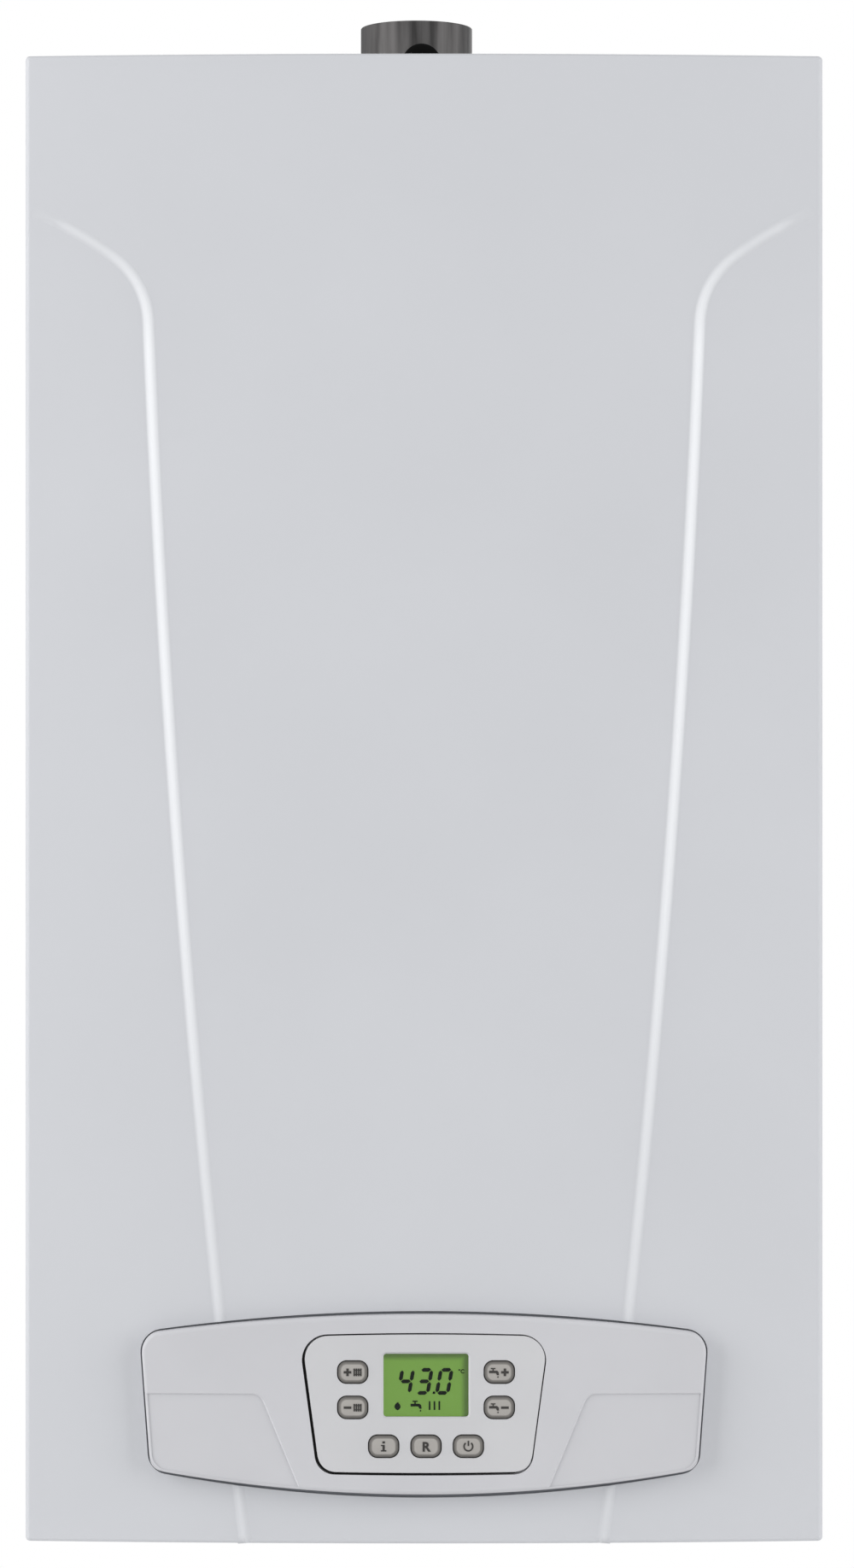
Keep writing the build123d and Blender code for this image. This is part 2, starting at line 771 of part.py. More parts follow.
with BuildPart() as top_panel:
    bar(-frame_half, frame_half, rail_front, -steel, panel_low, panel_top)
    bar(-frame_half, frame_half, rail_front, rail_front + steel, panel_low - shelf_lip, panel_low)
    with BuildSketch(Plane.XY.offset(panel_top)):
        with Locations((flue_x, flue_y)):
            Circle(intake_r)
            with PolarLocations(adaptor_pcd / 2, adaptor_screws, 45):
                Circle(adaptor_hole_r)
        with Locations((blank_x, flue_y)):
            Circle(blank_hole_r)
            with PolarLocations(blank_screw_pcd / 2, blank_screws, 30):
                Circle(screw_r + screw_gap)
    extrude(amount=2 * steel, both=True, mode=Mode.SUBTRACT)
save(top_panel.part, "top_panel")

with BuildPart() as blanking_plate:
    rod(blank_r, (blank_x, flue_y, panel_top), (blank_x, flue_y, panel_top + blank_t))
    with Locations((blank_x, flue_y, panel_top)):
        with PolarLocations(blank_screw_pcd / 2, blank_screws, 30):
            Cylinder(screw_r + screw_gap, 3 * blank_t, mode=Mode.SUBTRACT)
save(blanking_plate.part, "blanking_plate")

with BuildPart() as bottom_rail:
    bar(-frame_half, frame_half, rail_front, rail_back, rail_z, rail_top)
    for side in (-1, 1):
        bar(side * (frame_half - rail_side), side * frame_half, rail_back, -2 * steel, rail_z, rail_top)
        bar(side * (frame_half - steel), side * frame_half, rail_front, -frame_flange - cover_seat, rail_top,
            rail_top + rail_upstand)
        for x0 in (housing_half - ear_gap - ear_t, housing_half + arm_t + ear_gap):
            bar(side * x0, side * (x0 + ear_t), hinge_y - ear_r, hinge_y + ear_foot, rail_z, hinge_z)
            rod(ear_r, (side * x0, hinge_y, hinge_z), (side * (x0 + ear_t), hinge_y, hinge_z))
            rod(hinge_pin_r, (side * (x0 - 1), hinge_y, hinge_z), (side * (x0 + ear_t + 1), hinge_y, hinge_z),
                Mode.SUBTRACT)
        slot_x = side * cover_screw_x
        slot_half = screw_r + screw_gap
        bar(slot_x - slot_half, slot_x + slot_half, rail_front, cover_screw_y, rail_z, rail_top,
            Mode.SUBTRACT)
        rod(slot_half, (slot_x, cover_screw_y, rail_z), (slot_x, cover_screw_y, rail_top), Mode.SUBTRACT)
    rod(gauge_r, (0, gauge_y, rail_z), (0, gauge_y, rail_top), Mode.SUBTRACT)
save(bottom_rail.part, "bottom_rail")

with BuildPart() as hinge_pins:
    for side in (-1, 1):
        rod(hinge_pin_r, (side * (housing_half - 3.5), hinge_y, hinge_z),
            (side * (housing_half + arm_t + 3.5), hinge_y, hinge_z))
save(hinge_pins.part, "hinge_pins")

stubs = (("flow", -2 * stub_pitch, big_stub_r), ("hot", -stub_pitch, small_stub_r), ("gas", 0, big_stub_r),
         ("cold", stub_pitch, small_stub_r), ("return", 2 * stub_pitch, big_stub_r))
with BuildPart() as bottom_shelf:
    bar(-shelf_half, shelf_half, -shelf_depth, -steel, shelf_z, shelf_top)
    bar(-shelf_half, shelf_half, -shelf_depth, -shelf_depth + steel, shelf_top, shelf_top + shelf_lip)
    for _, x, radius in stubs:
        rod(radius - stub_neck, (x, stub_y, shelf_z), (x, stub_y, shelf_top), Mode.SUBTRACT)
    rod(tap_body_r, (tap_x, stub_y, shelf_z), (tap_x, stub_y, shelf_top), Mode.SUBTRACT)
    rod(gland_thread_r, (gland_x, stub_y, shelf_z), (gland_x, stub_y, shelf_top), Mode.SUBTRACT)
save(bottom_shelf.part, "bottom_shelf")

with BuildPart() as connection_stubs:
    for use, x, radius in stubs:
        stub_top = valve_low if use == "gas" else manifold_low
        rod(radius, (x, stub_y, -stub_drop), (x, stub_y, shelf_z - stub_neck_l))
        rod(radius - stub_neck, (x, stub_y, shelf_z - stub_neck_l), (x, stub_y, stub_top))
        rod(stub_bore_r, (x, stub_y, -stub_drop), (x, stub_y, stub_top), Mode.SUBTRACT)
save(connection_stubs.part, "connection_stubs")

with BuildPart() as union_nuts:
    for _, x, radius in stubs:
        with BuildSketch(Plane.XY.offset(shelf_top)):
            with Locations((x, stub_y)):
                RegularPolygon(hex_r, 6)
                Circle(radius - stub_neck, mode=Mode.SUBTRACT)
    extrude(amount=hex_h)
save(union_nuts.part, "union_nuts")

with BuildPart() as cable_gland:
    gland_at = (gland_x, stub_y)
    rod(gland_thread_r, (*gland_at, shelf_z - 1), (*gland_at, shelf_top + gland_rise))
    for nut_z, nut_h in ((shelf_z - gland_drop, gland_drop), (shelf_top, gland_nut_h)):
        with BuildSketch(Plane.XY.offset(nut_z)):
            with Locations(gland_at):
                RegularPolygon(gland_nut_r, 6)
        extrude(amount=nut_h)
    rod(gland_bore_r, (*gland_at, shelf_z - gland_drop), (*gland_at, shelf_top + gland_rise), Mode.SUBTRACT)
save(cable_gland.part, "cable_gland")

# ---------------------------------------------------------------------------------------------
# Sealed chamber and flue
# ---------------------------------------------------------------------------------------------
lid_screw_pitch = (panel_low - chamber_low - 2 * lid_screw_inset) / (lid_screw_rows - 1)
lid_screw_z = [chamber_low + lid_screw_inset + i * lid_screw_pitch for i in range(lid_screw_rows)]
lid_screw_x = chamber_half - lid_screw_inset
lid_places = [(side * lid_screw_x, z) for side in (-1, 1) for z in lid_screw_z]

with BuildPart() as chamber_shell:
    inner = chamber_half - sheet
    bar(-chamber_half, chamber_half, chamber_front, chamber_back, chamber_low, panel_low)
    bar(-inner, inner, chamber_front + sheet, chamber_back - sheet, chamber_low + sheet, panel_low + sheet,
        Mode.SUBTRACT)
    rim = chamber_half - chamber_flange
    bar(-rim, rim, chamber_front - sheet, chamber_front + 2 * sheet, chamber_low + chamber_flange,
        panel_low - chamber_flange, Mode.SUBTRACT)
    for x, z in lid_places:
        rod(screw_r, (x, chamber_front - sheet, z), (x, chamber_front + 2 * sheet, z), Mode.SUBTRACT)
    for pipe_at in ((-header_x, cell_y), (header_x, cell_y), (0, gas_rise_y)):
        rod(pipe_r, (*pipe_at, chamber_low - sheet), (*pipe_at, chamber_low + 2 * sheet), Mode.SUBTRACT)
save(chamber_shell.part, "chamber_shell")

with BuildPart() as lid_seal:
    bar(-chamber_half, chamber_half, lid_y, chamber_front, chamber_low, panel_low)
    bar(-rim, rim, lid_y, chamber_front, chamber_low + chamber_flange, panel_low - chamber_flange,
        Mode.SUBTRACT)
    for x, z in lid_places:
        rod(screw_r, (x, lid_y, z), (x, chamber_front, z), Mode.SUBTRACT)
save(lid_seal.part, "lid_seal")

with BuildPart() as chamber_lid:
    raised = chamber_half - lid_border
    bar(-chamber_half, chamber_half, lid_y - sheet, lid_y, chamber_low, panel_low)
    bar(-raised, raised, lid_y - lid_raise, lid_y - sheet, chamber_low + lid_border, panel_low - lid_border)
    fillet(chamber_lid.faces().sort_by(Axis.Y)[0].edges(), lid_raise / 3)
    bar(sheet - raised, raised - sheet, lid_y - lid_raise + sheet, lid_y, chamber_low + lid_border + sheet,
        panel_low - lid_border - sheet, Mode.SUBTRACT)
    for x, z in lid_places:
        rod(screw_r, (x, lid_y - 2 * sheet, z), (x, lid_y, z), Mode.SUBTRACT)
save(chamber_lid.part, "chamber_lid")

with BuildPart() as panel_screws:
    for x, z in lid_places:
        rod(screw_r, (x, lid_y - sheet, z), (x, chamber_front + lid_screw_l, z))
        rod(screw_head_r, (x, lid_y - sheet - screw_head_h, z), (x, lid_y - sheet, z))
    with Locations((blank_x, flue_y, panel_top)):
        with PolarLocations(blank_screw_pcd / 2, blank_screws, 30):
            Cylinder(screw_r, 2 * screw_head_r)
    with Locations((blank_x, flue_y, panel_top + blank_t)):
        with PolarLocations(blank_screw_pcd / 2, blank_screws, 30):
            Cylinder(screw_head_r, screw_head_h / 2, align=(Align.CENTER, Align.CENTER, Align.MIN))
save(panel_screws.part, "panel_screws")

with BuildPart() as flue_collar:
    rod(collar_r, (flue_x, flue_y, fan_outlet_z), (flue_x, flue_y, collar_top))
    rod(collar_foot_r, (flue_x, flue_y, fan_outlet_z), (flue_x, flue_y, fan_outlet_z + collar_foot_h))
    rod(plug_boss_r, (plug_x, flue_y - collar_r / 2, plug_z), (plug_x, boss_front, plug_z))
    rod(collar_r - collar_wall, (flue_x, flue_y, fan_outlet_z - 1), (flue_x, flue_y, collar_top + 1),
        Mode.SUBTRACT)
    rod(plug_bore_r, (plug_x, flue_y, plug_z), (plug_x, boss_front - 1, plug_z), Mode.SUBTRACT)
save(flue_collar.part, "flue_collar")

with BuildPart() as sampling_plug:
    rod(plug_bore_r, (plug_x, boss_front + plug_stem, plug_z), (plug_x, boss_front, plug_z))
    rod(plug_r, (plug_x, boss_front, plug_z), (plug_x, boss_front - plug_head, plug_z))
save(sampling_plug.part, "sampling_plug")

# ---------------------------------------------------------------------------------------------
# Fan and heat cell, inside the chamber
# ---------------------------------------------------------------------------------------------
with BuildPart() as fan_housing:
    rod(fan_r + fan_wall, (fan_x, fan_back, fan_z), (fan_x, fan_front, fan_z))
    bar(flue_x - outlet_half, flue_x + outlet_half, fan_front, fan_back, fan_z, fan_outlet_z)
    bar(flue_x - collar_foot_r, flue_x + collar_foot_r, flue_y - collar_foot_r, flue_y + collar_foot_r,
        fan_outlet_z - 3, fan_outlet_z)
    rod(fan_r, (fan_x, fan_back - fan_wall, fan_z), (fan_x, fan_front + fan_wall, fan_z), Mode.SUBTRACT)
    rod(outlet_half - 2 * fan_wall, (flue_x, flue_y, fan_z), (flue_x, flue_y, fan_outlet_z + 1),
        Mode.SUBTRACT)
    rod(fan_inlet_r, (fan_x, fan_back + 1, fan_z), (fan_x, fan_back - 2 * fan_wall, fan_z), Mode.SUBTRACT)
    rod(shaft_r + shaft_running, (fan_x, fan_front - 1, fan_z), (fan_x, fan_front + 2 * fan_wall, fan_z),
        Mode.SUBTRACT)
save(fan_housing.part, "fan_housing")

with BuildPart() as fan_impeller:
    rod(wheel_r, (fan_x, wheel_front + blade_t, fan_z), (fan_x, wheel_front, fan_z))
    rod(2 * shaft_r, (fan_x, flue_y, fan_z), (fan_x, wheel_front, fan_z))
    rod(shaft_r, (fan_x, wheel_front, fan_z), (fan_x, fan_front - shaft_l, fan_z))
    with Locations(Plane(origin=(fan_x, flue_y, fan_z), z_dir=(0, -1, 0))):
        with PolarLocations(wheel_r - blade_l / 2 - blade_t / 2, wheel_blades):
            Box(blade_l, blade_t, wheel_width)
save(fan_impeller.part, "fan_impeller")

with BuildPart() as fan_motor:
    rod(fan_motor_r, (fan_x, fan_front, fan_z), (fan_x, fan_front - fan_motor_l, fan_z))
    fillet(fan_motor.faces().sort_by(Axis.Y)[0].edges(), motor_edge_r)
    rod(shaft_r + shaft_running, (fan_x, fan_front, fan_z),
        (fan_x, fan_front - shaft_l - shaft_end_gap, fan_z),
        Mode.SUBTRACT)
save(fan_motor.part, "fan_motor")

with BuildPart() as flue_hood:
    for shrink, mode in ((0, Mode.ADD), (cell_wall, Mode.SUBTRACT)):
        with BuildSketch(Plane.XY.offset(fins_high)):
            with Locations((0, cell_y)):
                Rectangle(2 * (cell_half - shrink), cell_depth - 2 * shrink)
        with BuildSketch(Plane.XY.offset(hood_neck_z)):
            with Locations((fan_x, (fan_back + duct_back) / 2)):
                Rectangle(2 * (hood_half - shrink), duct_back - fan_back - 2 * shrink)
        loft(mode=mode)
        bar(fan_x - hood_half + shrink, fan_x + hood_half - shrink, fan_back + shrink, duct_back - shrink,
            hood_neck_z - shrink / 2, duct_top - shrink, mode)
    rod(fan_inlet_r, (fan_x, fan_back - 1, fan_z), (fan_x, fan_back + 2 * cell_wall, fan_z), Mode.SUBTRACT)
save(flue_hood.part, "flue_hood")

with BuildPart() as heat_exchanger_fins:
    for i in range(fin_count):
        fin_x = (i - (fin_count - 1) / 2) * fin_pitch
        bar(fin_x - fin_t / 2, fin_x + fin_t / 2, cell_front + fin_gap, cell_back - fin_gap,
            fins_low, fins_high)
    for y in tube_y:
        rod(tube_r, (-cell_half, y, tube_z), (cell_half, y, tube_z), Mode.SUBTRACT)
save(heat_exchanger_fins.part, "heat_exchanger_fins")

with BuildPart() as heat_exchanger_tubes:
    for y in tube_y:
        rod(tube_r, (-tube_end, y, tube_z), (tube_end, y, tube_z))
        rod(tube_r - pipe_wall, (-tube_end, y, tube_z), (tube_end, y, tube_z), Mode.SUBTRACT)
    for side in (-1, 1):
        bar(side * tube_end, side * (tube_end + header_l), tube_y[0] - header_half, tube_y[-1] + header_half,
            tube_z - header_half, tube_z + header_half)
save(heat_exchanger_tubes.part, "heat_exchanger_tubes")

with BuildPart() as combustion_chamber:
    bar(-cell_half, cell_half, cell_front, cell_back, cell_low, fins_low)
    bar(cell_wall - cell_half, cell_half - cell_wall, cell_front + cell_wall, cell_back - cell_wall,
        cell_low, fins_low, Mode.SUBTRACT)
    for x in (spacer_inset - cell_half, cell_half - spacer_inset):
        for z in (cell_low + spacer_inset, fins_low - spacer_inset):
            rod(spacer_r, (x, cell_back - cell_wall, z), (x, chamber_back - sheet, z))
save(combustion_chamber.part, "combustion_chamber")

with BuildPart() as insulation_panels:
    outer = cell_half - cell_wall
    for y0, y1 in ((cell_front + cell_wall, cell_front + cell_wall + insulation_t),
                   (cell_back - cell_wall - insulation_t, cell_back - cell_wall)):
        bar(-outer, outer, y0, y1, cell_low, fins_low)
    for side in (-1, 1):
        bar(side * (outer - insulation_t), side * outer, cell_front + cell_wall + insulation_t,
            cell_back - cell_wall - insulation_t, cell_low, fins_low)
save(insulation_panels.part, "insulation_panels")

with BuildPart() as burner:
    bar_half = (burner_blades - 1) * burner_pitch / 2 + burner_blade_w
    for y in (cell_front, cell_back - burner_rail_t):
        bar(-bar_half, bar_half, y, y + burner_rail_t, burner_low, cell_low)
    for i in range(burner_blades):
        blade_x = (i - (burner_blades - 1) / 2) * burner_pitch
        bar(blade_x - burner_blade_w / 2, blade_x + burner_blade_w / 2,
            cell_front + fin_gap, cell_back - fin_gap,
            burner_low + injector_drop, cell_low - fin_gap)
        rod(injector_r, (blade_x, cell_front + 1, injector_z), (blade_x, gas_rise_y, injector_z))
    bar(-bar_half, bar_half, gas_rise_y - pipe_r, cell_front - injector_gap, burner_low + injector_drop,
        burner_low + injector_drop + injector_h)
save(burner.part, "burner")

with BuildPart() as air_pressure_switch:
    rod(switch_r, (switch_x, chamber_back - sheet, switch_z), (switch_x, switch_step_y, switch_z))
    rod(switch_r - switch_rim, (switch_x, switch_step_y, switch_z), (switch_x, switch_front, switch_z))
save(air_pressure_switch.part, "air_pressure_switch")

with BuildPart() as sensing_tubes:
    for z in (switch_z + sensing_half, switch_z - sensing_half):
        pipe([(switch_x, switch_front, z), (switch_x, flue_y, z), (flue_x - outlet_half, flue_y, z)],
             sensing_bend, sensing_r, sensing_wall)
save(sensing_tubes.part, "sensing_tubes")

# ---------------------------------------------------------------------------------------------
# Expansion vessel, gas line and water side
# ---------------------------------------------------------------------------------------------
def vessel_can(inset):
    """The vessel's flat can with its pressed edges, drawn a given inset inside its outer face."""
    with BuildPart() as can:
        with BuildSketch(Plane.XZ.offset(inset - vessel_back)):
            with Locations((0, vessel_mid_z)):
                RectangleRounded(2 * (vessel_half - inset), vessel_h - 2 * inset, vessel_r - inset)
        extrude(amount=vessel_back - vessel_front - 2 * inset)
        fillet(can.faces().sort_by(Axis.Y)[0].edges(), vessel_edge_r - inset)
        fillet(can.faces().sort_by(Axis.Y)[-1].edges(), vessel_edge_r - inset)
    return can.part


with BuildPart() as expansion_vessel:
    add(vessel_can(0))
    with BuildSketch(Plane.XZ.offset(-(vessel_back + vessel_front) / 2)):
        with Locations((0, vessel_mid_z)):
            RectangleRounded(2 * (vessel_half + seam), vessel_h + 2 * seam, vessel_r + seam)
    extrude(amount=seam_t)
    for x in (vessel_pad_inset - vessel_half, vessel_half - vessel_pad_inset):
        for z in (vessel_low + vessel_pad_inset, vessel_high - vessel_pad_inset):
            rod(vessel_pad_r, (x, vessel_back - vessel_wall / 2, z), (x, -steel, z))
    rod(vessel_pipe_r + 2, (*vessel_port, vessel_low + vessel_wall / 2),
        (*vessel_port, vessel_low - vessel_stub))
    add(vessel_can(vessel_wall), mode=Mode.SUBTRACT)
save(expansion_vessel.part, "expansion_vessel")

with BuildPart() as gas_valve:
    bar(-valve_half, valve_half, valve_y - valve_depth / 2, valve_y + valve_depth / 2, valve_low, valve_top)
    for x in (-solenoid_x, solenoid_x):
        rod(solenoid_r, (x, valve_y - solenoid_x, valve_top),
            (x, valve_y - solenoid_x, valve_top + solenoid_h))
    rod(pipe_r + collar_add, (0, gas_port_y, valve_top), (0, gas_port_y, valve_top + port_h))
save(gas_valve.part, "gas_valve")

with BuildPart() as flow_manifold:
    bar(-manifold_out, -manifold_in, manifold_front, manifold_back, manifold_low, manifold_high)
    bar(-port_x - port_half, port_half - port_x, plate_back, manifold_front,
        manifold_low + port_half, manifold_high)
    rod(spindle_r + shaft_running, (*spindle_at, spindle_low - shaft_end_gap), (*spindle_at, manifold_high),
        Mode.SUBTRACT)
save(flow_manifold.part, "flow_manifold")

with BuildPart() as return_manifold:
    bar(manifold_in, manifold_out, manifold_front, manifold_back, manifold_low, manifold_high)
    bar(port_x - port_half, port_x + port_half, plate_back, manifold_front,
        manifold_low + port_half, manifold_high)
save(return_manifold.part, "return_manifold")

with BuildPart() as plate_heat_exchanger:
    plate_step = (plate_high - plate_low) / plate_count
    core_half = plate_half - plate_lip
    bar(-core_half, core_half, plate_front + plate_lip, plate_back - plate_lip, plate_low, plate_high)
    for i in range(plate_count):
        z = plate_low + i * plate_step
        bar(-plate_half, plate_half, plate_front, plate_back, z, z + plate_step / 2)
    bar(-plate_half, plate_half, plate_front, plate_back, plate_high - plate_step / 2, plate_high)
save(plate_heat_exchanger.part, "plate_heat_exchanger")

with BuildPart() as three_way_motor:
    bar(spindle_x - drive_half, spindle_x + drive_half, spindle_y - drive_half, spindle_y + drive_half,
        manifold_high, manifold_high + drive_h)
    fillet(three_way_motor.edges().filter_by(Axis.Z), drive_r)
    rod(spindle_r + shaft_running, (*spindle_at, manifold_high),
        (*spindle_at, spindle_top + spindle_travel + shaft_end_gap), Mode.SUBTRACT)
save(three_way_motor.part, "three_way_motor")

with BuildPart() as three_way_spindle:
    rod(spindle_r, (*spindle_at, spindle_low), (*spindle_at, spindle_top))
save(three_way_spindle.part, "three_way_spindle")

with BuildPart() as pump_body:
    rod(pump_r, (pump_x, volute_back, pump_z), (pump_x, volute_front, pump_z))
    bar(pump_x - neck_half, pump_x + neck_half, volute_mid, manifold_back - neck_inset, manifold_high, pump_z)
    bar(vent_at[0] - neck_half, vent_at[0] + neck_half, volute_mid - neck_half, volute_mid + neck_half,
        pump_z, pump_port_z)
    rod(pipe_r + collar_add, (*pump_out, pump_z), (*pump_out, pump_port_z))
    rod(pump_wheel_r + wheel_gap, (pump_x, volute_back - pump_wall, pump_z),
        (pump_x, volute_front + pump_wall, pump_z), Mode.SUBTRACT)
    rod(shaft_r + shaft_running, (pump_x, volute_front, pump_z), (pump_x, volute_front + pump_wall, pump_z),
        Mode.SUBTRACT)
save(pump_body.part, "pump_body")

with BuildPart() as pump_impeller:
    wheel_back = volute_back - pump_wall - wheel_gap
    hub_front = volute_front + pump_wall + wheel_gap
    rod(pump_wheel_r, (pump_x, wheel_back, pump_z), (pump_x, wheel_back - vane_t, pump_z))
    rod(2 * shaft_r, (pump_x, wheel_back, pump_z), (pump_x, hub_front, pump_z))
    rod(shaft_r, (pump_x, hub_front, pump_z), (pump_x, volute_front - shaft_l, pump_z))
    with Locations(Plane(origin=(pump_x, wheel_back, pump_z), z_dir=(0, -1, 0))):
        with PolarLocations(pump_wheel_r - vane_l / 2 - vane_t, pump_vanes):
            Box(vane_l, vane_t, vane_h, align=(Align.CENTER, Align.CENTER, Align.MIN))
save(pump_impeller.part, "pump_impeller")

with BuildPart() as pump_motor:
    rod(pump_motor_r, (pump_x, volute_front, pump_z), (pump_x, volute_front - pump_motor_l, pump_z))
    fillet(pump_motor.faces().sort_by(Axis.Y)[0].edges(), motor_edge_r)
    bar(pump_x - terminal_half, pump_x + terminal_half, volute_front - terminal_inset,
        volute_front - terminal_inset - 2 * terminal_half, pump_z, pump_z + pump_motor_r + terminal_rise)
    rod(shaft_r + shaft_running, (pump_x, volute_front, pump_z),
        (pump_x, volute_front - shaft_l - shaft_end_gap, pump_z), Mode.SUBTRACT)
save(pump_motor.part, "pump_motor")

with BuildPart() as air_vent:
    rod(vent_r, (*vent_at, pump_port_z), (*vent_at, pump_port_z + vent_h))
    rod(vent_cap_r, (*vent_at, pump_port_z + vent_h), (*vent_at, pump_port_z + vent_h + vent_cap_h))
save(air_vent.part, "air_vent")

with BuildPart() as copper_pipes:
    pipe([(0, gas_port_y, valve_top + port_h), (0, gas_port_y, gas_turn_z), (0, gas_rise_y, gas_turn_z),
          (0, gas_rise_y, burner_low + injector_drop)], pipe_bend, pipe_r, pipe_wall)
    pipe([(-header_x, cell_y, header_low), (-header_x, cell_y, flow_turn_z[1]),
          (*flow_landing, flow_turn_z[0]), (*flow_landing, manifold_high)], pipe_bend, pipe_r, pipe_wall)
    pipe([(*pump_out, pump_port_z), (*pump_out, return_turn_z[0]), (header_x, cell_y, return_turn_z[1]),
          (header_x, cell_y, header_low)], pipe_bend, pipe_r, pipe_wall)
    for radius, mode in ((vessel_pipe_r, Mode.ADD), (vessel_pipe_r - pipe_wall, Mode.SUBTRACT)):
        rod(radius, (*vessel_port, vessel_low - vessel_stub), (*vessel_port, manifold_high), mode)
save(copper_pipes.part, "copper_pipes")

with BuildPart() as safety_valve_body:
    rod(safety_r, (safety_x, manifold_front, safety_z), (safety_x, safety_front, safety_z))
    rod(shaft_r, (safety_x, safety_front, safety_z), (safety_x, safety_front - knob_stem, safety_z))
save(safety_valve_body.part, "safety_valve_body")

with BuildPart() as safety_valve_knob:
    knob_back = safety_front - knob_gap
    rod(safety_knob_r, (safety_x, knob_back, safety_z), (safety_x, knob_back - safety_knob_l, safety_z))
    with Locations(Plane(origin=(safety_x, knob_back, safety_z), z_dir=(0, -1, 0))):
        with PolarLocations(safety_knob_r + grip_r / 2, safety_grips):
            Cylinder(grip_r, 2 * safety_knob_l + 1, mode=Mode.SUBTRACT)
    rod(shaft_r + shaft_running, (safety_x, knob_back, safety_z),
        (safety_x, safety_front - knob_stem - knob_gap, safety_z), Mode.SUBTRACT)
save(safety_valve_knob.part, "safety_valve_knob")

with BuildPart() as gauge_body:
    rod(gauge_r, (0, gauge_y, rail_z), (0, gauge_y, rail_z + gauge_h))
    rod(gauge_r + gauge_flange, (0, gauge_y, rail_top), (0, gauge_y, rail_top + gauge_flange))
    rod(dial_r, (0, gauge_y, rail_z), (0, gauge_y, dial_z), Mode.SUBTRACT)
    rod(needle_pin_r, (0, gauge_y, dial_z), (0, gauge_y, dial_z - needle_rise - needle_t))
save(gauge_body.part, "gauge_body")

with BuildPart() as gauge_needle:
    needle_high = dial_z - needle_rise
    needle_low = needle_high - needle_t
    rod(needle_hub_r, (0, gauge_y, needle_low), (0, gauge_y, needle_high))
    bar(-needle_w / 2, needle_w / 2, gauge_y - dial_r / 3, gauge_y + dial_r * 4 / 5, needle_low, needle_high)
    rod(needle_pin_r + shaft_running, (0, gauge_y, needle_low), (0, gauge_y, needle_high), Mode.SUBTRACT)
save(gauge_needle.part, "gauge_needle")

with BuildPart() as filling_tap_body:
    rod(tap_body_r, (tap_x, stub_y, manifold_low), (tap_x, stub_y, tap_body_low))
    rod(shaft_r, (tap_x, stub_y, tap_body_low), (tap_x, stub_y, tap_body_low - knob_stem))
save(filling_tap_body.part, "filling_tap_body")

with BuildPart() as filling_tap_knob:
    tap_knob_top = tap_body_low - knob_gap
    rod(tap_knob_r, (tap_x, stub_y, tap_knob_top), (tap_x, stub_y, tap_knob_top - tap_knob_h))
    with Locations((tap_x, stub_y, tap_knob_top)):
        with PolarLocations(tap_knob_r + grip_r / 2, tap_grips):
            Cylinder(grip_r, 2 * tap_knob_h + 1, mode=Mode.SUBTRACT)
    rod(shaft_r + shaft_running, (tap_x, stub_y, tap_knob_top),
        (tap_x, stub_y, tap_body_low - knob_stem - knob_gap), Mode.SUBTRACT)
save(filling_tap_knob.part, "filling_tap_knob")
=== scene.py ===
# %% [markdown]
# # A wall-hung combi boiler
# A combi boiler is a tall sheet-metal box that hangs on the wall. Its bowed front cover is painted
# light grey, a plastic control panel sits low on it, and a steel flue collar stands on top.
# The CAD model is the fixed frame: this lesson loads it, gives every part its finish, and adds the
# pieces that need softer or finer shapes than the CAD solids have. Everything is in metres.

# %% Load the frame
import bpy
import bmesh
import json
from math import atan2, cos, hypot, pi, radians, sin, sqrt, tan
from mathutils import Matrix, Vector


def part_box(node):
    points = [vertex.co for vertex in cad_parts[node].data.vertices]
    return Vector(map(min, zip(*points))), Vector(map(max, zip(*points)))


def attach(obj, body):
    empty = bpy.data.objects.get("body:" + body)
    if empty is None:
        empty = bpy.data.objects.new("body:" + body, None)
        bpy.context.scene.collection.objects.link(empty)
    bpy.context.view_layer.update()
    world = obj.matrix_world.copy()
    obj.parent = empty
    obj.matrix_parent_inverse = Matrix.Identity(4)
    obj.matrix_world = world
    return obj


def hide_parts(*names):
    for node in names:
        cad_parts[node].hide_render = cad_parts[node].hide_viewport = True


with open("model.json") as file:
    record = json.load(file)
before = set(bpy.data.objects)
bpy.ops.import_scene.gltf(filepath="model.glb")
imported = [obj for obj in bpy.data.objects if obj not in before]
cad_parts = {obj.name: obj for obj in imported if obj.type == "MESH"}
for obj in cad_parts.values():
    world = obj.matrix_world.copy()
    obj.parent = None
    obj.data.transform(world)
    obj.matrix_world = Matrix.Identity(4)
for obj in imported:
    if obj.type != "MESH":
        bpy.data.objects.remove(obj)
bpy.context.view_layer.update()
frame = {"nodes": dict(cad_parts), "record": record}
nodes = frame["nodes"]


def clear_selection():
    """Leave edit mode and deselect everything, because an operator acts on all that is selected."""
    if bpy.context.mode != "OBJECT":
        bpy.ops.object.mode_set(mode="OBJECT")
    bpy.ops.object.select_all(action="DESELECT")


clear_selection()

# %% [markdown]
# ## Tools for finishes
# Every finish here is one Principled shader whose colour, gloss and relief follow patterns in the
# piece's own object coordinates, so it needs no unwrapping. Small helpers keep each recipe short:
# they add a node, start a material, make noise, map a pattern to a range or to colours, and link
# the patterns to the shader, with relief of a real depth.

# %% Node helpers
finishes = {}


def add(tree, kind, inputs=None, **settings):
    """Add a shader node; an input given as a socket is linked, any other value is set."""
    made = tree.nodes.new("ShaderNode" + kind)
    for key, value in settings.items():
        setattr(made, key, value)
    for key, value in (inputs or {}).items():
        if isinstance(value, bpy.types.NodeSocket):
            tree.links.new(value, made.inputs[key])
        else:
            made.inputs[key].default_value = value
    return made


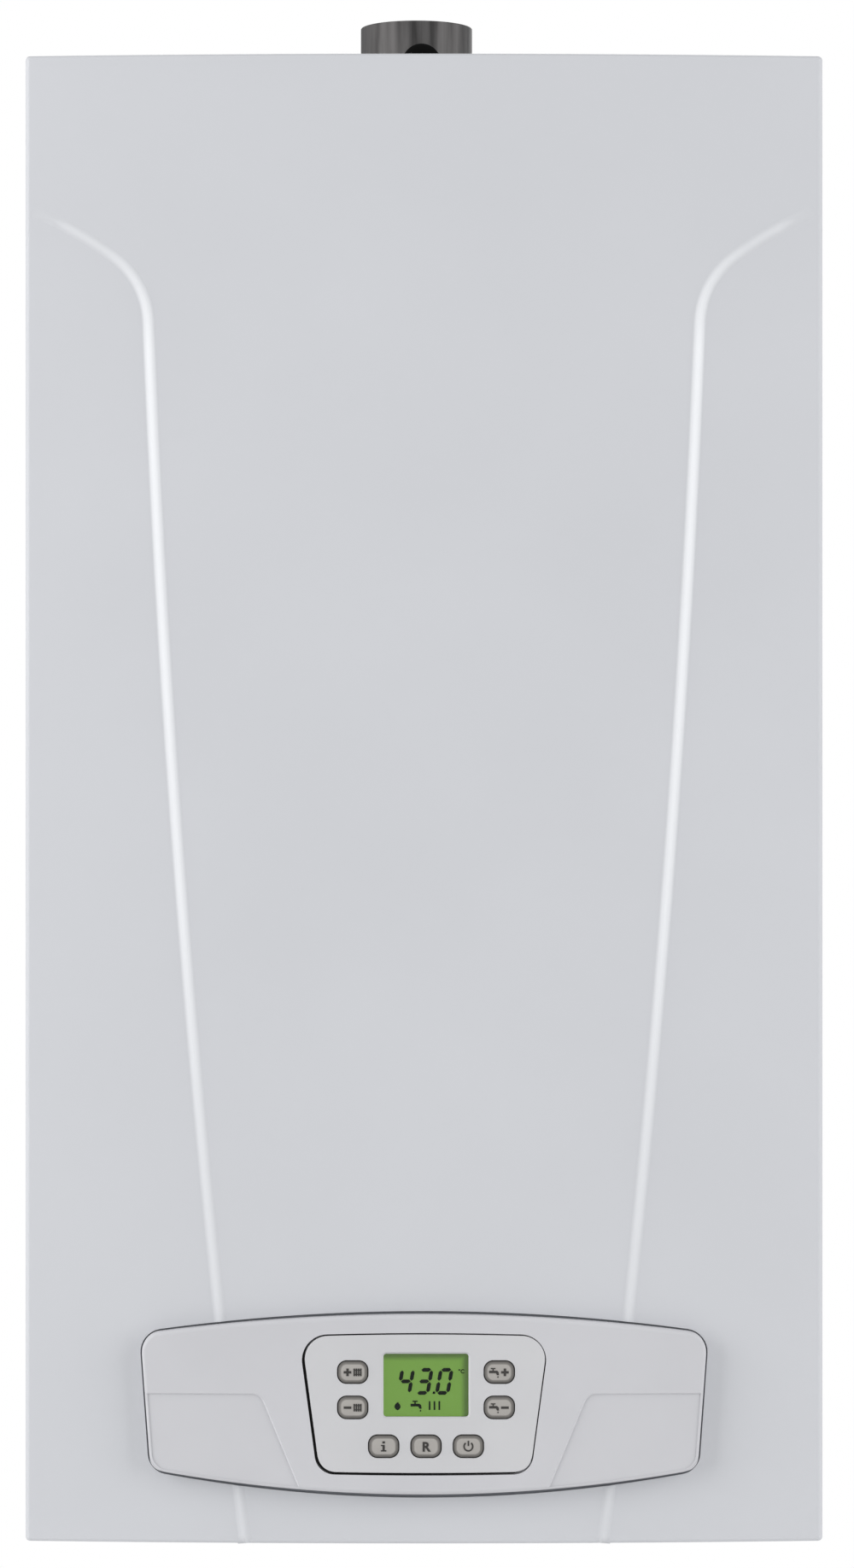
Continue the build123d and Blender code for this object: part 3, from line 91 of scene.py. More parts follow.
def finish(name, colour, roughness, metallic=0.0, **sockets):
    """Start a finish and keep it under its name. Returns its tree, its shader and coordinates."""
    finishes[name] = bpy.data.materials.new(name)
    finishes[name].use_nodes = True
    tree = finishes[name].node_tree
    shader = tree.nodes["Principled BSDF"]
    sockets.update(Base_Color=(*colour, 1), Roughness=roughness, Metallic=metallic)
    for socket, value in sockets.items():
        shader.inputs[socket.replace("_", " ")].default_value = value
    return tree, shader, add(tree, "TexCoord").outputs["Object"]


def dress(tree, shader, height=None, depth=0.0, **patterns):
    """Link patterns to the shader's sockets, and a height pattern as bump of a real depth in metres."""
    for socket, pattern in patterns.items():
        tree.links.new(pattern, shader.inputs[socket.replace("_", " ")])
    if height is not None:
        bump = add(tree, "Bump", {"Height": height, "Distance": depth, "Strength": 1.0})
        tree.links.new(bump.outputs["Normal"], shader.inputs["Normal"])


def grain(tree, coords, scale, detail=2.0, stretch=(1, 1, 1), turn=(0, 0, 0)):
    """Noise with `scale` lumps a metre, stretched or turned where the finish has a direction."""
    placed = add(tree, "Mapping", {"Vector": coords, "Scale": stretch, "Rotation": turn})
    made = add(tree, "TexNoise", {"Vector": placed.outputs["Vector"], "Scale": scale, "Detail": detail})
    return made.outputs["Fac"]


def spread(tree, pattern, low, high, start=0.35, end=0.65):
    """Map a pattern's values from start..end to low..high."""
    made = add(tree, "MapRange", {"Value": pattern, "From Min": start, "From Max": end,
                                  "To Min": low, "To Max": high})
    return made.outputs["Result"]


def shades(tree, pattern, stops):
    """Colours along a pattern's values, from (place, colour) pairs."""
    made = add(tree, "ValToRGB", {"Fac": pattern})
    ramp = made.color_ramp
    while len(ramp.elements) < len(stops):
        ramp.elements.new(0.5)
    for element, (place, colour) in zip(ramp.elements, stops):
        element.position = place
        element.color = (*colour, 1)
    return made.outputs["Color"]


def tint(colour, factor):
    """The same colour, lighter or darker."""
    return tuple(min(1.0, c * factor) for c in colour)


def mottle(tree, pattern, colour, dark, light, start=0.3, end=0.7):
    """One colour that drifts from a darker to a lighter shade along a pattern."""
    return shades(tree, pattern, [(start, tint(colour, dark)), (end, tint(colour, light))])


print("finish helpers ready")

# %% [markdown]
# ## The camera
# The photograph was taken straight on, from far away, at the height of the casing's middle.
# A long lens keeps the sides of the casing nearly hidden, as they are in the photograph. A small
# shift puts the casing where it stands in the picture.

# %% Camera
IMAGE_W, IMAGE_H = 1000, 1836
FOCAL_PX, SENSOR_MM = 5704.0, 36.0
CASING_PX = (496.5, 935.0)
CAMERA_AT = (0.0, -2.733, 0.3725)

camera_data = bpy.data.cameras.new("camera")
camera_data.sensor_width = SENSOR_MM
camera_data.lens = FOCAL_PX / IMAGE_H * SENSOR_MM
camera_data.shift_x = (IMAGE_W / 2 - CASING_PX[0]) / IMAGE_H
camera_data.shift_y = (CASING_PX[1] - IMAGE_H / 2) / IMAGE_H
camera_data.clip_end = 60.0
camera = bpy.data.objects.new("camera", camera_data)
camera.location = CAMERA_AT
camera.rotation_euler = (radians(90), 0, 0)
bpy.context.scene.collection.objects.link(camera)
bpy.context.scene.camera = camera
print("lens", round(camera_data.lens, 2), "mm, shift", round(camera_data.shift_x, 4), round(camera_data.shift_y, 4))

# %% [markdown]
# ## The studio
# The picture has a pure white ground. Two pairs of tall soft boxes stand left and right of the
# boiler and graze its front, so the flat sheet stays light grey while each pressed bead catches a
# bright line, made brighter by a painted highlight on its crest. Gloss mirrors only the weaker lamp
# of a pair, so paint and zinc keep their shade from the side. Weaker lamps hang above and behind.
# A round pale floor lies well below.

# %% World and floor
SKY_COLOUR, SKY_POWER = (0.97, 0.985, 1, 1), 0.47
FLOOR_R, FLOOR_Z, FLOOR_GREY = 2.2, -0.9, 0.82

world = bpy.data.worlds.new("studio")
bpy.context.scene.world = world
world.use_nodes = True
sky = world.node_tree
sky.nodes.clear()
sky_light = add(sky, "Background", {"Color": SKY_COLOUR, "Strength": SKY_POWER})
sky_seen = add(sky, "Background", {"Color": (1, 1, 1, 1), "Strength": 1.0})
sky_mix = add(sky, "MixShader", {"Fac": add(sky, "LightPath").outputs["Is Camera Ray"],
                                 1: sky_light.outputs["Background"], 2: sky_seen.outputs["Background"]})
add(sky, "OutputWorld", {"Surface": sky_mix.outputs["Shader"]})

clear_selection()
bpy.ops.mesh.primitive_circle_add(vertices=96, radius=FLOOR_R, fill_type="NGON", location=(0, 0, FLOOR_Z))
floor = bpy.context.object
floor.name = "studio_floor"
finish("studio_floor", (FLOOR_GREY,) * 3, 0.9)
floor.data.materials.append(finishes["studio_floor"])
print("floor at", floor.location.z)

# %% Soft boxes
SIDE_X, SIDE_Y, SIDE_SIZE = 2.1, -1.15, (1.7, 2.4)
MIDDLE = (0, -0.25, 0.40)


def soft_box(name, place, size, power, target=MIDDLE, shines=True):
    """A rectangular studio lamp at place, turned to face target. Gloss mirrors it only if it shines."""
    lamp = bpy.data.lights.new(name, "AREA")
    lamp.shape = "RECTANGLE"
    lamp.size, lamp.size_y = size
    lamp.energy = power
    holder = bpy.data.objects.new(name, lamp)
    holder.location = place
    holder.rotation_euler = (Vector(target) - Vector(place)).to_track_quat("-Z", "Y").to_euler()
    holder.visible_glossy = shines
    bpy.context.scene.collection.objects.link(holder)


for side, x, z, power, fill_power in (("left", -SIDE_X, 0.75, 16, 37), ("right", SIDE_X, 0.65, 13, 28)):
    soft_box(side + "_box", (x, SIDE_Y, z), SIDE_SIZE, power)
    soft_box(side + "_fill", (x, SIDE_Y, z), SIDE_SIZE, fill_power, shines=False)
soft_box("top_box", (-0.4, -1.6, 2.6), (2.4, 0.8), 6)
soft_box("rear_box", (0.4, 2.4, 1.6), (2.4, 2.4), 18, target=(0, 0, 0.4))

# %% [markdown]
# ## Painted and moulded finishes
# The cover is enamelled steel: smooth, satin, with the faint ripple called orange peel. The panel
# and its insert are moulded plastic with a fine spark-eroded grain. The keys are soft rubber.
# Noise at the right scale gives each its ripple or grain, and a broad weak noise keeps the colour
# from being dead flat.

# %% Paint and plastic
PAINT = (0.600, 0.607, 0.632)
ORANGE_PEEL, RIPPLE = 420.0, 0.00001


def enamel(name, colour, roughness=0.34, ripple=RIPPLE):
    """Sprayed and baked paint: orange-peel ripple, with gloss and shade that drift a little."""
    tree, shader, coords = finish(name, colour, roughness, Specular_IOR_Level=0.5)
    dress(tree, shader, grain(tree, coords, ORANGE_PEEL, 1.0), ripple,
          Base_Color=mottle(tree, grain(tree, coords, 7.0, 3.0), colour, 0.985, 1.015),
          Roughness=spread(tree, grain(tree, coords, 60.0), roughness - 0.03, roughness + 0.03))


def moulded(name, colour, roughness=0.5, grain_scale=2600.0, depth=0.000006, drift=0.02, **sockets):
    """Moulded plastic or rubber: a fine even grain and a faint drift of shade."""
    tree, shader, coords = finish(name, colour, roughness, **sockets)
    fine = grain(tree, coords, grain_scale)
    dress(tree, shader, fine, depth,
          Base_Color=mottle(tree, grain(tree, coords, 18.0, 3.0), colour, 1 - drift, 1 + drift),
          Roughness=spread(tree, fine, roughness - 0.05, roughness + 0.05))


enamel("cover_enamel", PAINT)
enamel("red_paint", (0.50, 0.045, 0.030), 0.28, 2 * RIPPLE)
moulded("light_plastic", (0.570, 0.568, 0.590), 0.40)
moulded("panel_plastic", (0.580, 0.578, 0.590), 0.46)
moulded("housing_grey", (0.24, 0.25, 0.27), 0.55, 1500.0, 0.00001)
moulded("key_ink", (0.040, 0.037, 0.034), 0.62, 2200.0, 0.000004, 0.15)
moulded("lcd_ink", (0.003, 0.009, 0.003), 0.80, 2200.0, 0.000002, 0.1, Specular_IOR_Level=0.1)
moulded("black_rubber", (0.004, 0.004, 0.004), 0.80, 1200.0, 0.00002, 0.2, Specular_IOR_Level=0.1)
moulded("black_plastic", (0.022, 0.022, 0.024), 0.42, 2200.0, 0.00001, 0.1)
moulded("white_plastic", (0.74, 0.73, 0.70), 0.45, 2200.0, 0.00001)
moulded("red_plastic", (0.55, 0.030, 0.022), 0.38, 2200.0, 0.00001, 0.05)
moulded("blue_plastic", (0.030, 0.085, 0.36), 0.38, 2200.0, 0.00001, 0.05)

# A bead's crest shows as a bright line, so its paint is lighter and smoother there: the lighter
# colour is a painted highlight. Each bead's mesh carries how strong that highlight is at each point.
tree, shader, coords = finish("bead_enamel_highlight", PAINT, 0.30)
crest_highlight = add(tree, "Attribute", attribute_name="crest_highlight").outputs["Fac"]
dress(tree, shader, grain(tree, coords, ORANGE_PEEL, 1.0), RIPPLE,
      Base_Color=shades(tree, crest_highlight, [(0.0, PAINT), (0.25, (0.620, 0.627, 0.650)), (1.0, (0.90, 0.91, 0.93))]),
      Roughness=spread(tree, crest_highlight, 0.34, 0.24, 0.0, 1.0))

# The bevel round a key's flat top is painted darker, as painted shade; the top keeps the lighter colour.
tree, shader, coords = finish("key_rubber", (0.365, 0.345, 0.322), 0.62)
unshaded_top = add(tree, "Attribute", attribute_name="unshaded_top").outputs["Fac"]
fine = grain(tree, coords, 1800.0)
dress(tree, shader, fine, 0.00001, Roughness=spread(tree, fine, 0.56, 0.68),
      Base_Color=shades(tree, unshaded_top, [(0.0, (0.115, 0.108, 0.100)), (0.75, (0.22, 0.208, 0.194)),
                                        (1.0, (0.385, 0.365, 0.342))]))
print("painted and moulded finishes", len(finishes))

# %% [markdown]
# ## Metal finishes
# The chassis is galvanised sheet with its crystal spangle, the flue collar is drawn steel that
# heat has dulled, with upright streaks, and the water side is brass and copper that has gone a
# little brown. A metal's look is mostly its gloss, so each recipe varies roughness and shade
# together.


# %% Metals
def spangled(name, colour, roughness=0.40):
    """Galvanised sheet: flat crystals of slightly different shade and gloss, on a faintly uneven skin."""
    tree, shader, coords = finish(name, colour, roughness, 0.92)
    crystals = add(tree, "TexVoronoi", {"Vector": coords, "Scale": 120.0}).outputs["Color"]
    shade = add(tree, "SeparateColor", {"Color": crystals}).outputs["Red"]
    dress(tree, shader, grain(tree, coords, 300.0), 0.000012,
          Base_Color=mottle(tree, shade, colour, 0.88, 1.10, 0.0, 1.0),
          Roughness=spread(tree, shade, roughness - 0.07, roughness + 0.08, 0, 1))


def drawn(name, colour, roughness, stretch, scale, contrast):
    """Drawn, rolled or turned metal: fine streaks along the direction that it was worked in."""
    tree, shader, coords = finish(name, colour, roughness, 1.0)
    streaks = grain(tree, coords, scale, 4.0, stretch)
    dress(tree, shader, streaks, 0.00001,
          Base_Color=mottle(tree, streaks, colour, 1 - contrast, 1 + contrast),
          Roughness=spread(tree, streaks, roughness - 0.08, roughness + 0.08))


def tarnished(name, colour, stain, roughness, amount=0.6):
    """Bare copper or brass: bright where it was handled, browner in clouds, with a fine grain."""
    tree, shader, coords = finish(name, colour, roughness, 1.0)
    clouds = grain(tree, coords, 28.0, 5.0)
    dress(tree, shader, grain(tree, coords, 900.0), 0.00001,
          Base_Color=shades(tree, clouds, [(0.62 - 0.3 * amount, stain), (0.62, colour), (0.8, tint(colour, 1.08))]),
          Roughness=spread(tree, clouds, roughness + 0.14, roughness - 0.04))


def cast(name, colour, roughness, metallic, scale=700.0, depth=0.00006):
    """Sand or die casting: an even pebbled skin, duller in its hollows."""
    tree, shader, coords = finish(name, colour, roughness, metallic)
    skin = grain(tree, coords, scale, 3.0)
    dress(tree, shader, skin, depth, Base_Color=mottle(tree, skin, colour, 0.86, 1.08),
          Roughness=spread(tree, skin, roughness + 0.08, roughness - 0.06))


UPRIGHT, LENGTHWISE = (1, 1, 0.07), (0.06, 1, 1)
spangled("zinc_steel", (0.52, 0.53, 0.545))
drawn("screw_steel", (0.60, 0.60, 0.585), 0.28, (1, 1, 1), 900.0, 0.08)
drawn("aluminised_steel", (0.42, 0.415, 0.41), 0.42, UPRIGHT, 170.0, 0.14)
drawn("heat_dulled_steel", (0.185, 0.178, 0.176), 0.50, UPRIGHT, 170.0, 0.50)
drawn("stainless", (0.60, 0.60, 0.585), 0.26, LENGTHWISE, 500.0, 0.06)
cast("cast_aluminium", (0.56, 0.56, 0.56), 0.50, 1.0)
cast("cast_grey", (0.045, 0.05, 0.055), 0.52, 0.0, 450.0, 0.00010)
tarnished("copper", (0.83, 0.40, 0.25), (0.34, 0.15, 0.09), 0.27)
tarnished("brass", (0.78, 0.57, 0.25), (0.42, 0.28, 0.11), 0.30, 0.4)
print("metals added,", len(finishes), "finishes")

# %% [markdown]
# ## Foam, fibre, circuit board, glass and the lit display
# The door seal is black cellular foam and the fire lining is white ceramic fibre. The display is
# a green backlit liquid crystal: it glows by itself. Towards its top and right edges the glow is
# painted darker, a painted shade as the window's frame would cast. A thin clear pane covers it.

# %% Soft, clear and lit finishes
tree, shader, coords = finish("seal_foam", (0.030, 0.030, 0.032), 0.85)
cells = add(tree, "TexVoronoi", {"Vector": coords, "Scale": 900.0}).outputs["Distance"]
dress(tree, shader, cells, 0.0003, Base_Color=shades(tree, cells, [(0.0, (0.012,) * 3), (0.6, (0.045,) * 3)]))

tree, shader, coords = finish("fibre_white", (0.72, 0.70, 0.64), 0.92)
fibres = grain(tree, coords, 500.0, 6.0, (1, 0.25, 1), (0.3, 0.2, 0.6))
dress(tree, shader, fibres, 0.0004,
      Base_Color=shades(tree, fibres, [(0.3, (0.58, 0.55, 0.49)), (0.7, (0.80, 0.78, 0.73))]))

tree, shader, coords = finish("board_green", (0.02, 0.13, 0.05), 0.38)
upright = add(tree, "Mapping", {"Vector": coords, "Rotation": (radians(90), 0, 0)}).outputs["Vector"]
tracks = add(tree, "TexBrick", {
    "Vector": upright, "Color1": (0.018, 0.13, 0.05, 1), "Color2": (0.024, 0.17, 0.065, 1),
    "Mortar": (0.05, 0.27, 0.11, 1), "Scale": 1.0, "Brick Width": 0.011, "Row Height": 0.0032,
    "Mortar Size": 0.0003})
dress(tree, shader, tracks.outputs["Fac"], 0.00003, Base_Color=tracks.outputs["Color"])

tree, shader, coords = finish("window_clear", (0.96, 1.0, 0.95), 0.03, Transmission_Weight=1.0, IOR=1.30)
dress(tree, shader, Roughness=spread(tree, grain(tree, coords, 400.0), 0.02, 0.05))

# Towards the top and right edges the glow is painted darker: painted shade, as from the window's frame.
DISPLAY_RIGHT, DISPLAY_TOP = 0.0219, 0.0957
RIGHT_SHADE_BAND, TOP_SHADE_BAND = (0.0038, 0.0012), (0.0036, 0.0010)
LIT_GREEN, SHADED_GREEN = (0.143, 0.268, 0.047), (0.050, 0.085, 0.022)
tree, shader, coords = finish("display_green", tint(LIT_GREEN, 0.6), 0.45, Emission_Strength=0.86)
place = add(tree, "SeparateXYZ", {"Vector": coords}).outputs
right_shade = spread(tree, place["X"], 0.0, 1.0, *(DISPLAY_RIGHT - inwards for inwards in RIGHT_SHADE_BAND))
top_shade = spread(tree, place["Z"], 0.0, 1.0, *(DISPLAY_TOP - inwards for inwards in TOP_SHADE_BAND))
painted_edge_shade = add(tree, "Math", {0: right_shade, 1: top_shade}, operation="MAXIMUM").outputs["Value"]
dress(tree, shader, grain(tree, coords, 1500.0), 0.000004,
      Emission_Color=shades(tree, painted_edge_shade, [(0.0, LIT_GREEN), (1.0, SHADED_GREEN)]))
print("finishes", len(finishes))

# %% [markdown]
# ## Dress the CAD parts
# The record says which material slot each node has, so every CAD node takes the finish with its
# slot's name. Nodes whose shape is already right stay as they are.

# %% Give every node its finish
for subpart in frame["record"]["subparts"]:
    mesh = nodes[subpart["node"]].data
    mesh.materials.clear()
    mesh.materials.append(finishes[subpart["material_slot"]])

# %% [markdown]
# ## Tools for modelling
# Pieces are modelled as by hand: a primitive, then edit mode. Operators act on the selection, so
# a helper picks faces, edges or vertices by their place or direction, and another finishes a
# piece: it applies its place, turns faces outwards, smooths it, dresses it and hangs it on its body.

# %% Modelling helpers
MERGE, NEAR = 0.000001, 0.00001


def only(piece):
    """Make the piece the only selected and the active one, in object mode."""
    clear_selection()
    piece.select_set(True)
    bpy.context.view_layer.objects.active = piece


def edit(piece):
    """Enter edit mode on the piece alone."""
    only(piece)
    bpy.ops.object.mode_set(mode="EDIT")


def pick(piece, kind, test):
    """In edit mode, select only the verts, edges or faces that pass the test."""
    bpy.ops.mesh.select_mode(type={"verts": "VERT", "edges": "EDGE", "faces": "FACE"}[kind])
    bpy.ops.mesh.select_all(action="DESELECT")
    mesh = bmesh.from_edit_mesh(piece.data)
    chosen = [part for part in getattr(mesh, kind) if test(part)]
    for part in chosen:
        part.select_set(True)
    bmesh.update_edit_mesh(piece.data)
    return len(chosen)


def extrude_all(move):
    """In edit mode, extrude the whole piece."""
    bpy.ops.mesh.select_all(action="SELECT")
    bpy.ops.mesh.extrude_region_move(TRANSFORM_OT_translate={"value": move})


def inset_and_move(thickness, move):
    """In edit mode, inset the selected faces and move what lies inside."""
    bpy.ops.mesh.inset(thickness=thickness, depth=0)
    bpy.ops.transform.translate(value=move)


def face_outwards(merge=False):
    """In edit mode, merge doubled points if asked, turn all faces outwards and leave edit mode."""
    bpy.ops.mesh.select_all(action="SELECT")
    if merge:
        bpy.ops.mesh.remove_doubles(threshold=MERGE)
    bpy.ops.mesh.normals_make_consistent(inside=False)
    clear_selection()


def middle_of(part):
    """Middle of an edge or a face."""
    return sum((v.co for v in part.verts), Vector()) / len(part.verts)


def modify(piece, kind, **settings):
    """Add a modifier with its settings and apply it."""
    only(piece)
    bpy.ops.object.modifier_add(type=kind)
    modifier = piece.modifiers[-1]
    for key, value in settings.items():
        setattr(modifier, key, value)
    bpy.ops.object.modifier_apply(modifier=modifier.name)


def settle(piece):
    """Put the piece's place, turn and scale into its mesh."""
    only(piece)
    bpy.ops.object.transform_apply(location=True, rotation=True, scale=True)


def put(piece, place, turn=(0, 0, 0)):
    """Turn a piece, move it to its place and put that into its mesh."""
    piece.rotation_euler = turn
    piece.location = place
    settle(piece)
    return piece


def join(pieces):
    """Join pieces into the first one."""
    only(pieces[0])
    for piece in pieces:
        piece.select_set(True)
    bpy.ops.object.join()
    return pieces[0]


def hang(piece, name, body, slot, look=None, replaced=(), angle=35):
    """Finish a piece: place applied, faces outwards, smooth, dressed, and riding on its body."""
    settle(piece)
    edit(piece)
    face_outwards(merge=True)
    only(piece)
    bpy.ops.object.shade_smooth_by_angle(angle=radians(angle))
    piece.name = piece.data.name = name
    piece.data.materials.clear()
    piece.data.materials.append(finishes[look or slot])
    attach(piece, body)
    if replaced:
        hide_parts(*replaced)
    clear_selection()
    print(name, len(piece.data.polygons), "faces")

# %% [markdown]
# ## The bowed sheet
# The cover's front is part of a very large cylinder: it stands 9 mm further out at its middle than
# at its sides. Whatever lies on it follows that bow, so one function gives its depth at any x.

# %% Depth of the bowed front
COVER_HALF, COVER_TOP = 0.200, 0.745
SIDE_DEPTH, BOW_RISE, SHEET = 0.290, 0.009, 0.001
COVER_BACK = -0.003
BOW_RADIUS = (COVER_HALF ** 2 + BOW_RISE ** 2) / (2 * BOW_RISE)


def front_y(x, out=0.0):
    """Depth of a surface that stands `out` in front of the bowed sheet, at x from the middle."""
    return BOW_RADIUS - SIDE_DEPTH - BOW_RISE - sqrt((BOW_RADIUS + out) ** 2 - x ** 2)


print("front at the middle", round(front_y(0), 4), "at the sides", round(front_y(COVER_HALF), 4))

# %% [markdown]
# ## The front cover
# The real cover is one sheet, folded back along its sides and in again at top and bottom, with
# a cut-out for the panel. A fine grid is bowed, its rim is extruded back to make the sides, and the
# folds are bevelled to the sheet's bend radii. Solidify then gives it the sheet's thickness.

# %% Cover: bow a grid and fold its rim back
SIDE_LIP, TOP_LIP, BOTTOM_LIP = 0.012, 0.014, 0.022
FOLD_R, RIM_R = 0.0026, 0.0020
UPRIGHT_TURN = (radians(90), 0, 0)

clear_selection()
bpy.ops.mesh.primitive_grid_add(x_subdivisions=80, y_subdivisions=36, size=1,
                                location=(0, 0, COVER_TOP / 2), rotation=UPRIGHT_TURN)
cover = bpy.context.object
cover.scale = (2 * COVER_HALF, COVER_TOP, 1)
settle(cover)
for v in cover.data.vertices:
    v.co.y = front_y(v.co.x)
edit(cover)
pick(cover, "edges", lambda e: e.is_boundary)
bpy.ops.mesh.extrude_region_move(TRANSFORM_OT_translate={"value": (0, SIDE_DEPTH, 0)})
clear_selection()
for v in cover.data.vertices:
    if v.co.y > -SIDE_DEPTH / 2:
        v.co.y = COVER_BACK
edit(cover)
face_outwards()
print("cover faces", len(cover.data.polygons))


# %% Cover: open the top and bottom, leaving the folded lips
def closes(face, level):
    """Whether a face closes the cover's top or bottom, at that level."""
    return abs(middle_of(face).z - level) < NEAR and abs(face.normal.z) > 0.9


inside = COVER_HALF - SIDE_LIP
edit(cover)
for level, front_lip in ((COVER_TOP, TOP_LIP), (0.0, BOTTOM_LIP)):
    lip_y = front_lip - SIDE_DEPTH
    for place, normal in (((inside, 0, 0), (1, 0, 0)), ((-inside, 0, 0), (1, 0, 0)), ((0, lip_y, 0), (0, 1, 0))):
        pick(cover, "faces", lambda f: closes(f, level))
        bpy.ops.mesh.bisect(plane_co=place, plane_no=normal)
    opened = pick(cover, "faces", lambda f: closes(f, level) and abs(middle_of(f).x) < inside
                  and middle_of(f).y > lip_y)
    bpy.ops.mesh.delete(type="FACE")
    print("faces cut from level", level, opened)


# %% Cover: round the folds
def is_fold(e):
    """An upright edge where the front meets a side."""
    return (abs(abs(middle_of(e).x) - COVER_HALF) < NEAR and middle_of(e).y < 0.001 - SIDE_DEPTH
            and abs(e.verts[0].co.z - e.verts[1].co.z) > NEAR)


def is_rim(e):
    """An edge where the front or a side meets the top or bottom."""
    at_end = all(min(abs(v.co.z), abs(v.co.z - COVER_TOP)) < NEAR for v in e.verts)
    return at_end and len(e.link_faces) == 2 and e.calc_face_angle(0) > 1.2


folds = pick(cover, "edges", is_fold)
bpy.ops.mesh.bevel(offset=FOLD_R, segments=6, affect="EDGES")
rims = pick(cover, "edges", is_rim)
bpy.ops.mesh.bevel(offset=RIM_R, segments=4, affect="EDGES")
clear_selection()
print("fold edges", folds, "rim edges", rims)

# %% [markdown]
# ## The cut-out for the panel
# The panel stands through an opening that follows its outline at an even gap. The outline leans
# in at the sides, is arched at top and bottom and has rounded corners. It starts as a plane: the
# corners are bevelled, the long edges subdivided and then arched. Extruded, it cuts the sheet.


# %% Arched outlines and cutting
def upright_plane(width, height, depth):
    """An upright plane of that size, its middle at that depth."""
    clear_selection()
    bpy.ops.mesh.primitive_plane_add(size=1, location=(0, depth, 0), rotation=UPRIGHT_TURN)
    face = bpy.context.object
    face.scale = (width, height, 1)
    settle(face)
    return face


def arched_face(low_half, top_half, low_end, low_mid, high_end, high_mid, low_r, top_r, depth, grow=0.0):
    """An upright face at that depth, with leaning sides, arched top and bottom and rounded corners."""
    face = upright_plane(1, 1, depth)
    for v in face.data.vertices:
        top = v.co.z > 0
        v.co.x = (1 if v.co.x > 0 else -1) * ((top_half if top else low_half) + grow)
        v.co.z = high_end + grow if top else low_end - grow
    mid_z = (low_end + high_end) / 2
    edit(face)
    for top, radius in ((True, top_r + grow), (False, low_r + grow)):
        pick(face, "verts", lambda v: (v.co.z > mid_z) == top)
        bpy.ops.mesh.bevel(offset=radius, segments=8, affect="VERTICES")
    for top in (True, False):
        pick(face, "edges", lambda e: abs(e.verts[0].co.x - e.verts[1].co.x) > low_half
             and (middle_of(e).z > mid_z) == top)
        bpy.ops.mesh.subdivide(number_cuts=47)
    clear_selection()
    for v in face.data.vertices:
        top = v.co.z > mid_z
        half, rise = (top_half, high_mid - high_end) if top else (low_half, low_mid - low_end)
        v.co.z += rise * (1 - (v.co.x / half) ** 2)
    return face


def deepen(piece, distance):
    """Extrude all of a flat piece along Y."""
    edit(piece)
    extrude_all((0, distance, 0))
    face_outwards()
    return piece


def cut(piece, cutter, operation="DIFFERENCE"):
    """Cut one closed piece with another, and remove the cutter."""
    modify(piece, "BOOLEAN", object=cutter, operation=operation, solver="EXACT")
    bpy.data.objects.remove(cutter)

# %% Cover: thickness, cut-out and screw holes
# Half widths at the bottom and top, heights of the bottom line's end and middle and of the top
# line's end and middle, and corner radii at the bottom and top.
PANEL_SHAPE = (0.1365, 0.1415, 0.0377, 0.0258, 0.1050, 0.1152, 0.007, 0.010)
OPENING_SHAPE = (0.1369, 0.1419, 0.0366, 0.0240, 0.1048, 0.1156, 0.007, 0.010)
PANEL_GAP = 0.0008
CUTTER_Y, CUTTER_DEPTH = -0.32, 0.045
COVER_SCREW_X, COVER_SCREW_Y, HOLE_R, HOLE_DEPTH = 0.150, -0.277, 0.0022, 0.005


def cut_opening(piece):
    """Cut the panel's opening through a piece."""
    cut(piece, deepen(arched_face(*OPENING_SHAPE, depth=CUTTER_Y, grow=PANEL_GAP), CUTTER_DEPTH))


modify(cover, "SOLIDIFY", thickness=SHEET, offset=-1, use_even_offset=True)
cut_opening(cover)
for x in (-COVER_SCREW_X, COVER_SCREW_X):
    clear_selection()
    bpy.ops.mesh.primitive_cylinder_add(vertices=24, radius=HOLE_R, depth=HOLE_DEPTH,
                                        location=(x, COVER_SCREW_Y, 0))
    hole = bpy.context.object
    settle(hole)
    cut(cover, hole)
hang(cover, "cover_sheet", "cover", "cover_enamel", replaced=["front_cover"])

# %% Cover: even shading across its folds
modify(cover, "WEIGHTED_NORMAL", keep_sharp=True)
clear_selection()
print("cover shaded")

# %% [markdown]
# ## The two pressed beads
# A raised line runs up each side of the cover, bends tightly near the top and sweeps out to the
# edge, where it fades. It is pressed into the sheet to stiffen it. A long narrow grid gets
# the bead's rounded cross-section, a Curve modifier bends it along the line, and its depth then
# follows the bow. Its feet meet the sheet at no angle, so no seam shows. The panel's opening
# interrupts it, so the same cutter that opened the sheet is used on it.

# %% The line of a bead
BEAD_LOW, BEAD_MIDDLE, BEAD_HIGH = (0.0894, 0.0), (0.1197, 0.302), (0.1380, 0.611)
BEAD_BEND, BEAD_TIP = (0.1555, 0.6440), (0.1965, 0.6675)


def arc_points(centre, radius, start, sweep, count):
    """Points on an arc, from one angle over a sweep."""
    return [(centre[0] + radius * cos(start + sweep * i / count),
             centre[1] + radius * sin(start + sweep * i / count)) for i in range(1, count + 1)]


def tangent_arc(start, heading, end, count):
    """Points on the arc that leaves start along heading and ends at end, and its last heading."""
    chord = (end[0] - start[0], end[1] - start[1])
    turn = (atan2(chord[1], chord[0]) - heading + pi) % (2 * pi) - pi
    radius = hypot(*chord) / (2 * sin(turn))
    centre = (start[0] - radius * sin(heading), start[1] + radius * cos(heading))
    first = atan2(start[1] - centre[1], start[0] - centre[0])
    return arc_points(centre, abs(radius), first, 2 * turn, count), heading + 2 * turn


def circle_through(a, b, c):
    """Centre of the circle through three points."""
    d = 2 * (a[0] * (b[1] - c[1]) + b[0] * (c[1] - a[1]) + c[0] * (a[1] - b[1]))
    aa, bb, cc = (p[0] ** 2 + p[1] ** 2 for p in (a, b, c))
    return ((aa * (b[1] - c[1]) + bb * (c[1] - a[1]) + cc * (a[1] - b[1])) / d,
            (aa * (c[0] - b[0]) + bb * (a[0] - c[0]) + cc * (b[0] - a[0])) / d)


